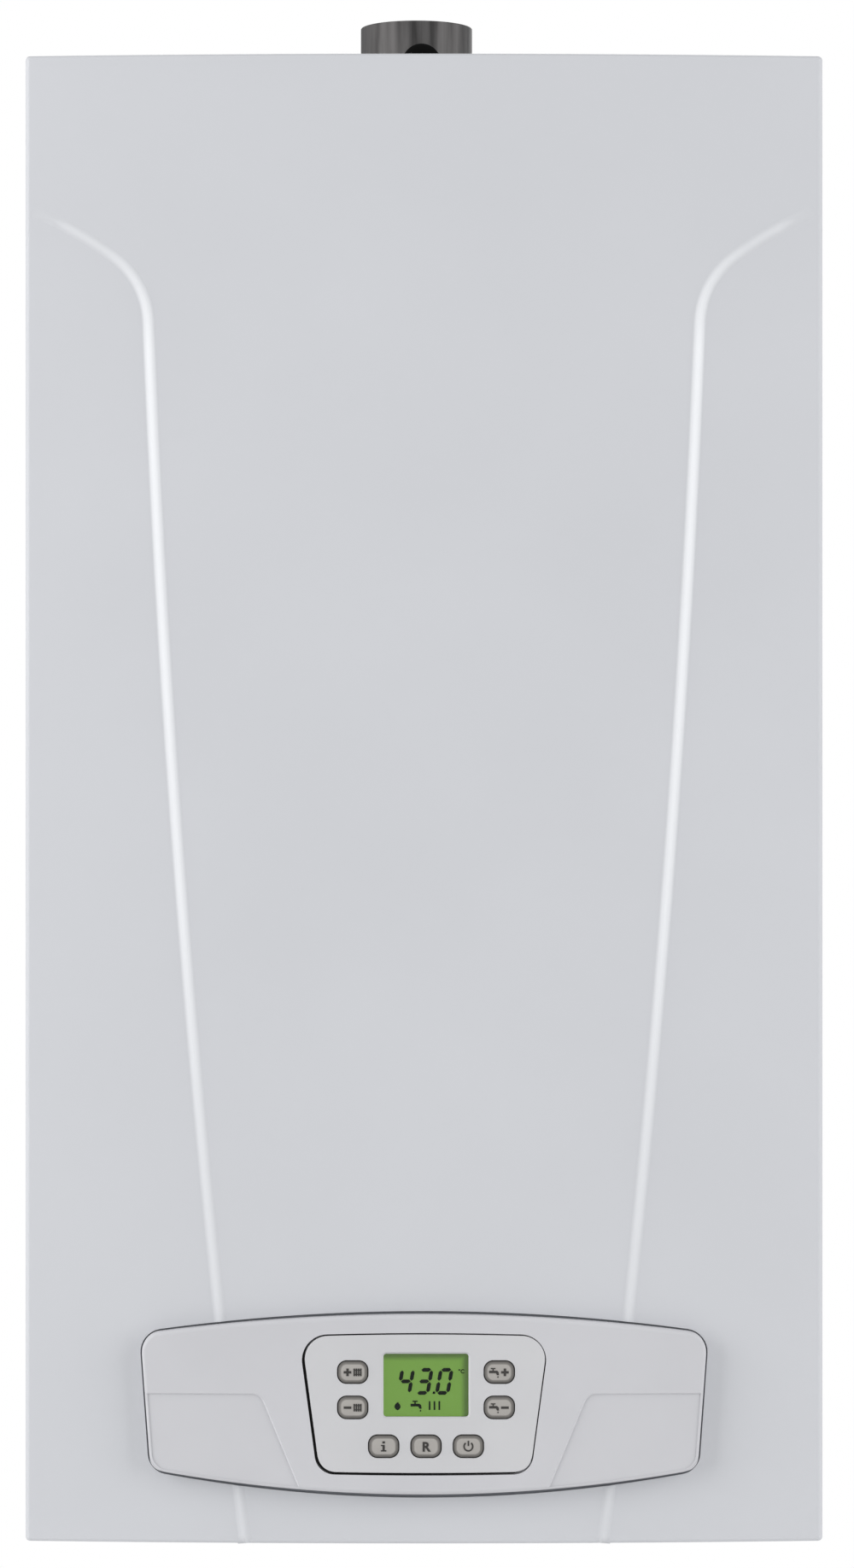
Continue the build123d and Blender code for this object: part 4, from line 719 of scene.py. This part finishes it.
long_centre = circle_through(BEAD_LOW, BEAD_MIDDLE, BEAD_HIGH)
long_radius = hypot(BEAD_LOW[0] - long_centre[0], BEAD_LOW[1] - long_centre[1])
low_angle = atan2(BEAD_LOW[1] - long_centre[1], BEAD_LOW[0] - long_centre[0])
high_angle = atan2(BEAD_HIGH[1] - long_centre[1], BEAD_HIGH[0] - long_centre[0])
long_sweep = (high_angle - low_angle + pi) % (2 * pi) - pi
bead_line = [BEAD_LOW] + arc_points(long_centre, long_radius, low_angle, long_sweep, 60)
heading = high_angle + (pi / 2 if long_sweep > 0 else -pi / 2)
bend, heading = tangent_arc(BEAD_HIGH, heading, BEAD_BEND, 24)
tip, heading = tangent_arc(BEAD_BEND, heading, BEAD_TIP, 16)
bead_line += bend + tip
bead_length = sum(hypot(b[0] - a[0], b[1] - a[1]) for a, b in zip(bead_line, bead_line[1:]))
print("bead length", round(bead_length, 4), "long radius", round(long_radius, 3))

# %% Beads: a rounded strip, bent along the line and laid on the bow
BEAD_HALF, BEAD_H = 0.0037, 0.00078
BEAD_SUNK, FADE = 0.00003, 0.020
# How strong the painted highlight on the crest is, at distances along the bead.
HIGHLIGHT_ALONG = ((0.0, 0.35), (0.14, 0.52), (0.22, 0.62), (0.32, 0.80), (0.43, 0.90), (0.60, 0.95),
          (0.66, 0.45), (1.0, 0.40))


def rim_back(z):
    """How far the sheet's rounded rim lies behind its front, near its bottom edge."""
    return RIM_R - sqrt(max(RIM_R ** 2 - (RIM_R - z) ** 2, 0)) if z < RIM_R else 0.0


def between(x, table):
    """Straight-line value at x in a short table of (x, value) pairs."""
    for (x0, y0), (x1, y1) in zip(table, table[1:]):
        if x <= x1:
            return y0 + (y1 - y0) * (x - x0) / (x1 - x0)
    return table[-1][1]


def bead_curve(side):
    """The bead's line as a flat curve, on the left (-1) or right (1)."""
    clear_selection()
    bpy.ops.curve.primitive_bezier_curve_add()
    line = bpy.context.object
    line.data.dimensions = "2D"
    line.data.splines.clear()
    run = line.data.splines.new("POLY")
    run.points.add(len(bead_line) - 1)
    for point, (x, z) in zip(run.points, bead_line):
        point.co = (side * x, z, 0, 1)
    return line


def bead(side, name):
    """One bead, on the left (-1) or right (1) of the cover."""
    line = bead_curve(side)
    clear_selection()
    bpy.ops.mesh.primitive_grid_add(x_subdivisions=330, y_subdivisions=18, size=1,
                                    location=(bead_length / 2, 0, 0))
    strip = bpy.context.object
    strip.scale = (bead_length, 2 * BEAD_HALF, 1)
    settle(strip)
    crest_highlight = strip.data.attributes.new("crest_highlight", "FLOAT", "POINT")
    for v in strip.data.vertices:
        left = min(1.0, (bead_length - v.co.x) / FADE)
        across = max(0.0, cos(pi / 2 * v.co.y / BEAD_HALF))
        # The painted highlight: strongest on the crest, none at the feet, fading at the tip, scaled by the table.
        crest_highlight.data[v.index].value = left * across * between(v.co.x, HIGHLIGHT_ALONG)
        v.co.z = BEAD_H * left * (2 - left) * across ** 2 - BEAD_SUNK
    edit(strip)
    extrude_all((0, 0, -SHEET / 2))
    face_outwards()
    modify(strip, "CURVE", object=line, deform_axis="POS_X")
    bpy.data.objects.remove(line)
    put(strip, (0, 0, 0), UPRIGHT_TURN)
    for v in strip.data.vertices:
        v.co.y += front_y(v.co.x) + rim_back(v.co.z)
    cut_opening(strip)
    hang(strip, name, "cover", "cover_enamel", "bead_enamel_highlight", ["front_cover"], 50)


for side, name in ((-1, "bead_left"), (1, "bead_right")):
    bead(side, name)

# %% [markdown]
# ## The skirt and flange behind the fascia
# The fascia stands in front of the sheet. A skirt moulded behind it passes through the cut-out
# and ends in a flange behind the sheet, so the narrow gap round the fascia looks dark and closes
# against dust. Both come from one arched outline: inset for the ring, extruded, and bowed. The
# ends of the fascia lie a little lower than its middle, and a rounded rim edges them.

# %% Skirt and flange
FASCIA_PROUD = 0.0080
SKIRT_INSET, SKIRT_T, SKIRT_OUT = 0.0006, 0.0016, 0.0002
FLANGE_OUT, FLANGE_T, FLANGE_BEHIND = 0.0040, 0.0012, 0.0018
SKIRT_IN_FLANGE = 0.0005


def arched_ring(shape, grow, width, front, depth, shift=(0, 0, 0), taper=0.0, slope=0.0):
    """A ring along an arched outline, from front to front + depth behind the bow.

    The inner line is moved by shift. The outer one comes in by taper towards the right end. A
    slope puts a bevel of that size along the outer edge.
    """
    ring = arched_face(*shape, depth=0.0, grow=grow)
    outer = len(ring.data.vertices)
    edit(ring)
    bpy.ops.mesh.select_all(action="SELECT")
    if slope:
        for part_in, part_out in ((0.35, 0.65), (0.65, 0.35)):
            inset_and_move(slope * part_in, (0, -slope * part_out, 0))
    inset_and_move(width, shift)
    bpy.ops.mesh.delete(type="FACE")
    clear_selection()
    middle_z, half = (shape[2] + shape[4]) / 2, shape[1]
    for v in ring.data.vertices[:outer]:
        right = (v.co.x + half) / (2 * half)
        v.co.z -= (1 if v.co.z > middle_z else -1) * taper * right
    deepen(ring, depth)
    for v in ring.data.vertices:
        v.co.y += front_y(v.co.x) + front
    return ring


skirt = arched_ring(PANEL_SHAPE, -SKIRT_INSET, SKIRT_T, -SKIRT_OUT, FLANGE_BEHIND + SKIRT_IN_FLANGE)
flange = arched_ring(PANEL_SHAPE, FLANGE_OUT, FLANGE_OUT + SKIRT_INSET + SKIRT_T, FLANGE_BEHIND, FLANGE_T)
hang(skirt, "fascia_skirt", "control_box", "light_plastic")
hang(flange, "fascia_flange", "control_box", "housing_grey")

# %% Rim round the lowered ends
RIM_OUT, RIM_SLOPE, RIM_W, RIM_DEEP = 0.0001, 0.0010, 0.0004, 0.0012
LOWERED, RIM_PROUD = 0.0008, 0.0004
rim_front = -(FASCIA_PROUD - LOWERED + RIM_PROUD)
rim = arched_ring(PANEL_SHAPE, RIM_OUT, RIM_W, rim_front + RIM_SLOPE, RIM_DEEP, slope=RIM_SLOPE)
hang(rim, "fascia_rim", "control_box", "light_plastic", angle=50)

# %% [markdown]
# ## A painted shade ring round the insert
# The keypad's insert sits in a recess of the fascia, a little to the right, so the gap round it is
# widest on the left. A black ring in the gap stands for the shade there, a painted shade that shows
# as a line thinning to the right. It is the same kind of ring, with its inner line moved and its
# outer line brought in at the right.

# %% Painted shade ring round the insert
INSERT_SHAPE = (0.0525, 0.0616, 0.0368, 0.0362, 0.1042, 0.1054, 0.009, 0.012)
RECESS_GAP, SHADE_RING_PLAY, SHADE_RING_TAPER = 0.0009, 0.00003, 0.0006
INSERT_SHIFT = (0.00045, 0, 0.00025)
SHADE_RING_OUT, SHADE_RING_T = 0.0079, 0.0008
shade_ring = arched_ring(INSERT_SHAPE, RECESS_GAP - SHADE_RING_PLAY, RECESS_GAP - 2 * SHADE_RING_PLAY, -SHADE_RING_OUT, SHADE_RING_T,
                   INSERT_SHIFT, SHADE_RING_TAPER)
hang(shade_ring, "insert_shade_ring", "control_box", "black_rubber")

# %% [markdown]
# ## The reading on the display
# A backlit liquid crystal shows three slanted digits, built of seven bars each. Every bar is a
# thin six-sided plate with pointed ends, a little short of its neighbours. One helper makes the
# bar, another turns and places it, and the digits lean by ten degrees.

# %% Thin printed shapes
DISPLAY_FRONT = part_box("display_module")[0].y
PRINT_T = 0.00012
print("display front", round(DISPLAY_FRONT, 5))


def plate(outline, size=1.0):
    """A thin upright plate with an (x, z) outline in parts of its size, its back on y = 0."""
    clear_selection()
    bpy.ops.mesh.primitive_circle_add(vertices=len(outline), radius=1, fill_type="NGON")
    made = bpy.context.object
    for v, (x, z) in zip(made.data.vertices, outline):
        v.co = (x * size, 0, z * size)
    return deepen(made, -PRINT_T)


def boxes(size, *corners):
    """Rectangular plates, each from its x0, x1, z0 and z1 in parts of the size, joined."""
    return join([plate([(x0, z0), (x1, z0), (x1, z1), (x0, z1)], size) for x0, x1, z0, z1 in corners])


def bar_plate(length, width):
    """An upright bar with pointed ends, its middle at the origin."""
    half, w = length / 2, width / 2
    return plate([(0, half), (w, half - w), (w, w - half), (0, -half), (-w, w - half), (-w, half - w)])


def copied(piece):
    """A copy of a piece with its own mesh."""
    twin = piece.copy()
    twin.data = piece.data.copy()
    bpy.context.scene.collection.objects.link(twin)
    return twin

# %% Digits
DIGIT_W, DIGIT_LOW, DIGIT_HIGH, STROKE = 0.0054, 0.0762, 0.0877, 0.00190
DIGIT_X = (-0.0128, -0.0036, 0.0064)
POINT_CORNERS = (0.0043, 0.0056, -0.0005, 0.0007)
SLANT = tan(radians(10))
SEGMENTS = {
    "top": (0.5, 1.0, True), "upper_left": (0.0, 0.75, False), "upper_right": (1.0, 0.75, False),
    "middle": (0.5, 0.5, True), "lower_left": (0.0, 0.25, False), "lower_right": (1.0, 0.25, False),
    "bottom": (0.5, 0.0, True)}
READING = (
    ("upper_left", "upper_right", "middle", "lower_right"),
    ("top", "upper_right", "middle", "lower_right", "bottom"),
    ("top", "upper_left", "upper_right", "lower_left", "lower_right", "bottom"))
digit_h = DIGIT_HIGH - DIGIT_LOW

bars = []
for left, lit in zip(DIGIT_X, READING):
    for place in lit:
        across, up, level = SEGMENTS[place]
        span = DIGIT_W if level else digit_h / 2
        bars.append(put(bar_plate(span - STROKE * 0.25, STROKE), (left + across * DIGIT_W, 0, up * digit_h),
                        (0, radians(90) if level else 0, 0)))
digits = join(bars + [boxes(1, POINT_CORNERS)])
for v in digits.data.vertices:
    v.co.x += v.co.z * SLANT
digits.location = (0, DISPLAY_FRONT, DIGIT_LOW)
hang(digits, "lcd_digits", "control_box", "black_plastic", "lcd_ink")

# %% [markdown]
# ## Signs on the display and on the keys
# Small generic signs stand under the reading and on the keys: a flame, a tap, a radiator, plus and
# minus. Each has a function that draws it as a few thin plates, in parts of its size. On a key the
# plates follow the key's bowed face and ride on that key, so they move when it is pressed.


# %% The signs
def plus_sign(size):
    """A plus of two crossed bars."""
    return boxes(size, (-0.5, 0.5, -0.16, 0.16), (-0.16, 0.16, 0.16, 0.5), (-0.16, 0.16, -0.5, -0.16))


def minus_sign(size):
    """A level bar."""
    return boxes(size, (-0.5, 0.5, -0.16, 0.16))


def radiator_sign(size, columns=4):
    """A radiator: upright columns joined by two rails."""
    pitch, half = 1.15 / columns, 0.10
    places = [pitch * (i - (columns - 1) / 2) for i in range(columns)]
    rails = [(x + half, x + pitch - half, low, low + 0.12) for low in (-0.34, 0.22) for x in places[:-1]]
    return boxes(size, *[(x - half, x + half, -0.5, 0.5) for x in places], *rails)


def bars_sign(size):
    """Three upright bars: a radiator drawn plainly."""
    return boxes(size, *[((i - 0.18) * 0.55, (i + 0.18) * 0.55, -0.5, 0.5) for i in (-1, 0, 1)])


def tap_sign(size):
    """A tap seen from the side: body with its spout, drop, stem and handle."""
    body = plate([(-0.62, -0.10), (0.20, -0.10), (0.32, -0.34), (0.56, -0.34), (0.52, 0.02), (0.34, 0.20),
                  (-0.62, 0.20)], size)
    drop = plate([(0.44, -0.42), (0.54, -0.58), (0.44, -0.66), (0.34, -0.58)], size)
    return join([body, boxes(size, (-0.22, -0.06, 0.20, 0.38), (-0.42, 0.14, 0.38, 0.52)), drop])


def flame_sign(size):
    """A flame: a leaf shape round its own curve."""
    side = [(sin(pi * t) ** 0.8 * 0.36 * (1.25 - 0.5 * t), t - 0.5) for t in [i / 12 for i in range(1, 12)]]
    return plate([(0, -0.5)] + side + [(0.10, 0.5)] + [(-x, z) for x, z in reversed(side)], size)


def power_sign(size, count=28):
    """A ring open at the top, with an upright bar in the opening."""
    gap = radians(38)
    angles = [pi / 2 + gap + (2 * pi - 2 * gap) * i / count for i in range(count + 1)]
    ring = [(r * cos(a), r * sin(a)) for r, run in ((0.5, angles), (0.35, angles[::-1])) for a in run]
    return join([plate(ring, size), boxes(size, (-0.075, 0.075, 0.05, 0.56))])


def info_sign(size):
    """A small i with feet: dot, stem, foot and a short bar at the left."""
    return boxes(size, (-0.13, 0.13, 0.30, 0.52), (-0.11, 0.11, -0.37, 0.16), (-0.27, 0.27, -0.50, -0.37),
                 (-0.27, -0.11, 0.04, 0.16))


def letter(text, size):
    """A bold letter as a thin plate, turned into a mesh before it is placed."""
    clear_selection()
    bpy.ops.object.text_add()
    made = bpy.context.object
    made.data.body = text
    made.data.size = size * 1.38
    made.data.align_x = "CENTER"
    made.data.offset = size * 0.05
    made.data.extrude = PRINT_T / 2
    made.data.resolution_u = 6
    bpy.ops.object.convert(target="MESH")
    return put(bpy.context.object, (0, -PRINT_T / 2, -size / 2), UPRIGHT_TURN)

# %% Signs under the reading
display_signs = [put(sign, (x, DISPLAY_FRONT, z)) for sign, x, z in (
    (flame_sign(0.0042), -0.0132, 0.0696), (tap_sign(0.0047), -0.0038, 0.0699),
    (bars_sign(0.0044), 0.0052, 0.0699), (letter("°C", 0.0020), 0.0186, 0.0870))]
hang(join(display_signs), "lcd_signs", "control_box", "black_plastic", "lcd_ink")

# %% Signs on the keys
KEY_OUT = 0.00885
KEY_UPPER, KEY_MIDDLE, KEY_LOWER = 0.0868, 0.0692, 0.0499
HEAT_X, HEAT_STEP_X, WATER_X, WATER_STEP_X = -0.0331, -0.0381, 0.0350, 0.0403
SIGN = 0.0038
KEY_SIGNS = {
    "key_heat_up": [(plus_sign, SIGN, HEAT_STEP_X, KEY_UPPER), (radiator_sign, SIGN, HEAT_X, KEY_UPPER)],
    "key_heat_down": [(minus_sign, SIGN, HEAT_STEP_X, KEY_MIDDLE), (radiator_sign, SIGN, HEAT_X, KEY_MIDDLE)],
    "key_water_up": [(tap_sign, 0.0042, WATER_X, KEY_UPPER), (plus_sign, SIGN, WATER_STEP_X, KEY_UPPER)],
    "key_water_down": [(tap_sign, 0.0042, WATER_X, KEY_MIDDLE), (minus_sign, SIGN, WATER_STEP_X, KEY_MIDDLE)],
    "key_info": [(info_sign, 0.0050, -0.0201, KEY_LOWER)],
    "key_reset": [(lambda size: letter("R", size), 0.0047, 0.0010, KEY_LOWER)],
    "key_power": [(power_sign, 0.0051, 0.0221, KEY_LOWER)]}

for key, signs in KEY_SIGNS.items():
    legend = join([put(draw(size), (x, 0, z)) for draw, size, x, z in signs])
    for v in legend.data.vertices:
        v.co.y += front_y(v.co.x, KEY_OUT)
    hang(legend, key + "_sign", key, "black_plastic", "key_ink")

# %% [markdown]
# ## The flue collar and its sampling plug
# The collar is rolled from steel plated with aluminium and stands on a flat foot. A short boss on
# its front carries a rubber plug, behind which the flue gas is sampled. Each round part is half of
# its section, drawn as a loop of edges, which spin turns round the axis.

# %% Turned pieces
FRONTWARD, REARWARD, DOWNWARD = UPRIGHT_TURN, (radians(-90), 0, 0), (radians(180), 0, 0)
EASE = 0.0004


def turned(section, place, turn=(0, 0, 0), steps=72):
    """Spin a loop of (radius, height) points round its axis, then turn it and put it in place."""
    clear_selection()
    bpy.ops.mesh.primitive_circle_add(vertices=len(section), radius=1, fill_type="NOTHING")
    piece = bpy.context.object
    for v, (r, h) in zip(piece.data.vertices, section):
        v.co = (r, 0, h)
    edit(piece)
    bpy.ops.mesh.select_all(action="SELECT")
    bpy.ops.mesh.spin(steps=steps, angle=2 * pi, center=(0, 0, 0), axis=(0, 0, 1))
    face_outwards(merge=True)
    return put(piece, place, turn)


def rod_cutter(radius, start, end):
    """A plain cylinder between two points, used only to cut with."""
    start, end = Vector(start), Vector(end)
    clear_selection()
    bpy.ops.mesh.primitive_cylinder_add(vertices=72, radius=radius, depth=(end - start).length)
    return put(bpy.context.object, (start + end) / 2, (end - start).to_track_quat("Z", "Y").to_euler())

# %% Flue collar: wall, foot and boss
collar_low, collar_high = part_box("flue_collar")
plug_low, plug_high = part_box("sampling_plug")
COLLAR_R, COLLAR_WALL, FOOT_H, RIM = 0.0296, 0.0012, 0.002, 0.0006
foot_r = (collar_high.x - collar_low.x) / 2
collar_at = Vector(((collar_low.x + collar_high.x) / 2, collar_high.y - foot_r, collar_low.z))
collar_h = collar_high.z - collar_low.z
rim_line = arc_points((COLLAR_R - RIM, collar_h - RIM), RIM, 0, pi, 8)
collar = turned([(foot_r, 0), (foot_r, FOOT_H * 0.8), (foot_r - EASE, FOOT_H), (COLLAR_R + 0.0010, FOOT_H),
                 (COLLAR_R + 0.0003, FOOT_H + 0.0003), (COLLAR_R, FOOT_H + 0.0010),
                 (COLLAR_R, collar_h - RIM)] + rim_line + [(COLLAR_R - COLLAR_WALL, 0)],
                collar_at, steps=128)

plug_at = (plug_low + plug_high) / 2
plug_r = (plug_high.x - plug_low.x) / 2
PLUG_HEAD, PLUG_BORE, BOSS_R = 0.003, 0.0072, 0.0089
boss_y = plug_low.y + PLUG_HEAD
boss_l = collar_at.y - COLLAR_R / 2 - boss_y
boss = turned([(PLUG_BORE, 0), (BOSS_R, 0), (BOSS_R, boss_l - EASE), (BOSS_R - EASE, boss_l),
               (PLUG_BORE + 0.0003, boss_l), (PLUG_BORE, boss_l - 0.0003)],
              (plug_at.x, boss_y + boss_l, plug_at.z), FRONTWARD, 64)
cut(boss, rod_cutter(COLLAR_R - COLLAR_WALL / 2, collar_at, collar_at + Vector((0, 0, collar_h))))
cut(collar, rod_cutter(PLUG_BORE, (plug_at.x, collar_at.y, plug_at.z), (plug_at.x, boss_y, plug_at.z)))
cut(collar, boss, "UNION")
hang(collar, "flue_collar_rolled", "chassis", "aluminised_steel", "heat_dulled_steel", ["flue_collar"], 40)

# %% Sampling plug
plug = turned([(0, -0.003), (PLUG_BORE - 0.0007, -0.003), (PLUG_BORE - 0.0001, -0.0022),
               (PLUG_BORE - 0.0001, 0.0001), (plug_r, 0.0001), (plug_r, 0.0017), (plug_r - 0.0003, 0.0024),
               (plug_r - 0.0009, 0.0028), (plug_r - 0.0018, 0.003), (0.0036, 0.0029), (0.0031, 0.0026),
               (0.0028, 0.0022), (0, 0.0021)],
              (plug_at.x, boss_y, plug_at.z), FRONTWARD, 64)
hang(plug, "sampling_plug_moulded", "chassis", "black_rubber", None, ["sampling_plug"], 40)

# %% [markdown]
# ## Screws and union nuts
# The screws are pan heads with a cross recess. One is turned for each kind, the recess is cut by
# two crossed wedges, and copies go where the CAD screws stand. A union nut is a hexagon whose
# corners are turned off: the part common to a prism and a double cone.


# %% Places read from the CAD nodes
def islands(node):
    """Lowest and highest corner of each separate solid of a CAD node, in the same order each run."""
    mesh = bmesh.new()
    mesh.from_mesh(nodes[node].data)
    bmesh.ops.remove_doubles(mesh, verts=mesh.verts, dist=MERGE)
    left, found = set(mesh.verts), []
    while left:
        reach = [left.pop()]
        group = []
        while reach:
            v = reach.pop()
            group.append(v.co.copy())
            near = {e.other_vert(v) for e in v.link_edges} & left
            left -= near
            reach += near
        found.append((Vector([min(c[i] for c in group) for i in range(3)]),
                      Vector([max(c[i] for c in group) for i in range(3)])))
    mesh.free()
    return sorted(found, key=lambda corners: tuple(corners[0]))

# %% One screw of each kind, copied to its places
SCREW_R, SCREW_HEAD_R = 0.0020, 0.0045
BOX_SCREW_R, BOX_SCREW_HEAD_R = 0.0015, 0.003
LID_HEAD_H, PLATE_HEAD_H, COVER_HEAD_H, BOX_HEAD_H = 0.003, 0.0015, 0.0018, 0.0022
THREAD_PITCH, CORE = 0.0012, 0.82


def screw(shank_r, shank_l, head_r, head_h):
    """A pan-head screw along +Z with its head's seat at 0, a blunt tip and a cross recess."""
    cap = [(head_r * cos(a), head_h * (0.35 + 0.65 * sin(a))) for a in [i * pi / 16 for i in range(8)]]
    thread = []
    turns = max(3, int(shank_l / THREAD_PITCH))
    for i in range(turns):
        z = -shank_l + 0.0006 + (shank_l - 0.0008) * i / turns
        thread += [(shank_r * CORE, z), (shank_r, z + 0.0003), (shank_r * CORE, z + 0.0006)]
    piece = turned([(0, -shank_l), (shank_r * 0.7, -shank_l)] + thread + [(shank_r * CORE, 0), (head_r, 0)]
                   + cap + [(0, head_h)], (0, 0, 0), steps=32)
    for turn in (0, 90):
        clear_selection()
        bpy.ops.mesh.primitive_cube_add(size=1)
        wedge = bpy.context.object
        wedge.scale = (head_r * 1.15, head_r * 0.24, head_h * 1.1)
        put(wedge, (0, 0, 0), (0, 0, radians(turn)))
        for v in wedge.data.vertices:
            if v.co.z < 0:
                v.co.x *= 0.45
                v.co.y *= 0.6
            v.co.z += head_h * 0.95
        cut(piece, wedge)
    return piece


def place_screws(model, places, name, node, body):
    """Copy a screw to (place, turn) pairs, join the copies and hang them; the model is removed."""
    copies = [put(copied(model), place, turn) for place, turn in places]
    bpy.data.objects.remove(model)
    hang(join(copies), name, body, "screw_steel", replaced=[node])


lid_places, plate_places = [], []
for low, high in islands("panel_screws"):
    centre = (low + high) / 2
    if high.y - low.y > 0.010:
        lid_places.append(((centre.x, low.y + LID_HEAD_H, centre.z), FRONTWARD))
    else:
        plate_places.append(((centre.x, centre.y, high.z - PLATE_HEAD_H), (0, 0, radians(20))))
cover_places = [(((low.x + high.x) / 2, (low.y + high.y) / 2, 0), DOWNWARD) for low, high in islands("cover_screws")]
box_places = [(((low.x + high.x) / 2, high.y - BOX_HEAD_H, (low.z + high.z) / 2), REARWARD)
              for low, high in islands("box_screws")]
print("lid screws", len(lid_places), "plate screws", len(plate_places))
for sizes, places, name, node, body in (
        ((SCREW_R, 0.011, SCREW_HEAD_R, LID_HEAD_H), lid_places, "lid_screws_cross", "panel_screws", "chassis"),
        ((SCREW_R, 0.004, SCREW_HEAD_R, PLATE_HEAD_H), plate_places, "plate_screws_cross", "panel_screws", "chassis"),
        ((SCREW_R, 0.009, SCREW_HEAD_R, COVER_HEAD_H), cover_places, "cover_screws_cross", "cover_screws", "cover"),
        ((BOX_SCREW_R, 0.010, BOX_SCREW_HEAD_R, BOX_HEAD_H), box_places, "box_screws_cross", "box_screws",
         "control_box")):
    place_screws(screw(*sizes), places, name, node, body)

# %% Union nuts
STUB_PITCH, BIG_NECK_R, SMALL_NECK_R = 0.065, 0.0120, 0.0093
BIG_STUBS = (-2, 2, 0)
CUT_PAST = Vector((0, 0, 0.001))
for index, (low, high) in enumerate(islands("union_nuts")):
    corner_r, nut_h = (high.x - low.x) / 2, high.z - low.z
    at = Vector(((low.x + high.x) / 2, (low.y + high.y) / 2, low.z))
    top = at + Vector((0, 0, nut_h))
    clear_selection()
    bpy.ops.mesh.primitive_cylinder_add(vertices=6, radius=corner_r, depth=nut_h, rotation=(0, 0, radians(90)),
                                        location=(at + top) / 2)
    nut = bpy.context.object
    settle(nut)
    chamfer = nut_h * 0.13
    cone = turned([(0, 0), (corner_r * 0.90, 0), (corner_r * 1.01, chamfer), (corner_r * 1.01, nut_h - chamfer),
                   (corner_r * 0.90, nut_h), (0, nut_h)], at)
    cut(nut, cone, "INTERSECT")
    neck_r = BIG_NECK_R if round(at.x / STUB_PITCH) in BIG_STUBS else SMALL_NECK_R
    cut(nut, rod_cutter(neck_r, at - CUT_PAST, top + CUT_PAST))
    hang(nut, f"union_nut_{index}", "chassis", "brass", None, ["union_nuts"], 25)

# %% [markdown]
# ## The seven keys
# Each key is a rubber cap with a broad bevel round a flat top; the bevel is painted darker as
# painted shade, so it looks ringed from the front. Its flange holds it behind the panel and its stem
# reaches the switch on the board. The cap is a rectangle with its corners bevelled, extruded, then
# inset and pushed forward for the bevel.

# %% A key at each of the seven places
KEY_R, KEY_BEVEL, KEY_BEVEL_H, KEY_ROUND = 0.0043, 0.0017, 0.0010, 0.0004
FLANGE_MORE, FLANGE_DEPTH, CAP_LESS = 0.0010, 0.0010, 0.0002
KEY_SEAT, SEAT_PLAY, STEM_R = 0.0055, 0.00035, 0.0020


def rounded_face(width, height, corner, depth):
    """An upright rectangle with rounded corners, at that depth."""
    face = upright_plane(width, height, depth)
    edit(face)
    bpy.ops.mesh.select_all(action="SELECT")
    bpy.ops.mesh.bevel(offset=corner, segments=8, affect="VERTICES")
    clear_selection()
    return face


def key_cap(node, body):
    """A key in the size and place of its CAD node."""
    low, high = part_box(node)
    width, height = high.x - low.x, high.z - low.z
    less = 2 * (FLANGE_MORE + CAP_LESS)
    x, z = (low.x + high.x) / 2, (low.z + high.z) / 2
    front = front_y(x, KEY_OUT)
    back = front_y(x, KEY_SEAT) + SEAT_PLAY
    cap = rounded_face(width - less, height - less, KEY_R, back)
    edit(cap)
    extrude_all((0, front + KEY_BEVEL_H - back, 0))
    inset_and_move(KEY_ROUND, (0, -KEY_BEVEL_H * 0.25, 0))
    inset_and_move(KEY_BEVEL - KEY_ROUND, (0, -KEY_BEVEL_H * 0.75, 0))
    clear_selection()
    # 1 on the flat top and 0 on the bevel, where the key's finish paints shade.
    unshaded_top = cap.data.attributes.new("unshaded_top", "FLOAT", "POINT")
    for v in cap.data.vertices:
        unshaded_top.data[v.index].value = 1.0 if v.co.y < front + NEAR else 0.0
    flange = deepen(rounded_face(width, height, KEY_R + FLANGE_MORE, back), FLANGE_DEPTH)
    stem_y = back + FLANGE_DEPTH
    stem_l = high.y - stem_y
    stem = turned([(0, 0), (STEM_R, 0), (STEM_R, stem_l - EASE), (STEM_R - EASE, stem_l), (0, stem_l)],
                  (0, stem_y, 0), REARWARD, 32)
    key = join([cap, flange, stem])
    for v in key.data.vertices:
        v.co.y += front_y(x + v.co.x) - front_y(x)
    key.location = (x, 0, z)
    hang(key, node + "_cap", body, "key_rubber", None, [node], 30)


for key in KEY_SIGNS:
    key_cap("button_" + key[4:], key)

# %% [markdown]
# ## Finish
# The colours are shown with the Standard view transform. The visual model has to stay
# inside the CAD model's box.

# %% Finish
bpy.context.scene.view_settings.view_transform = "Standard"
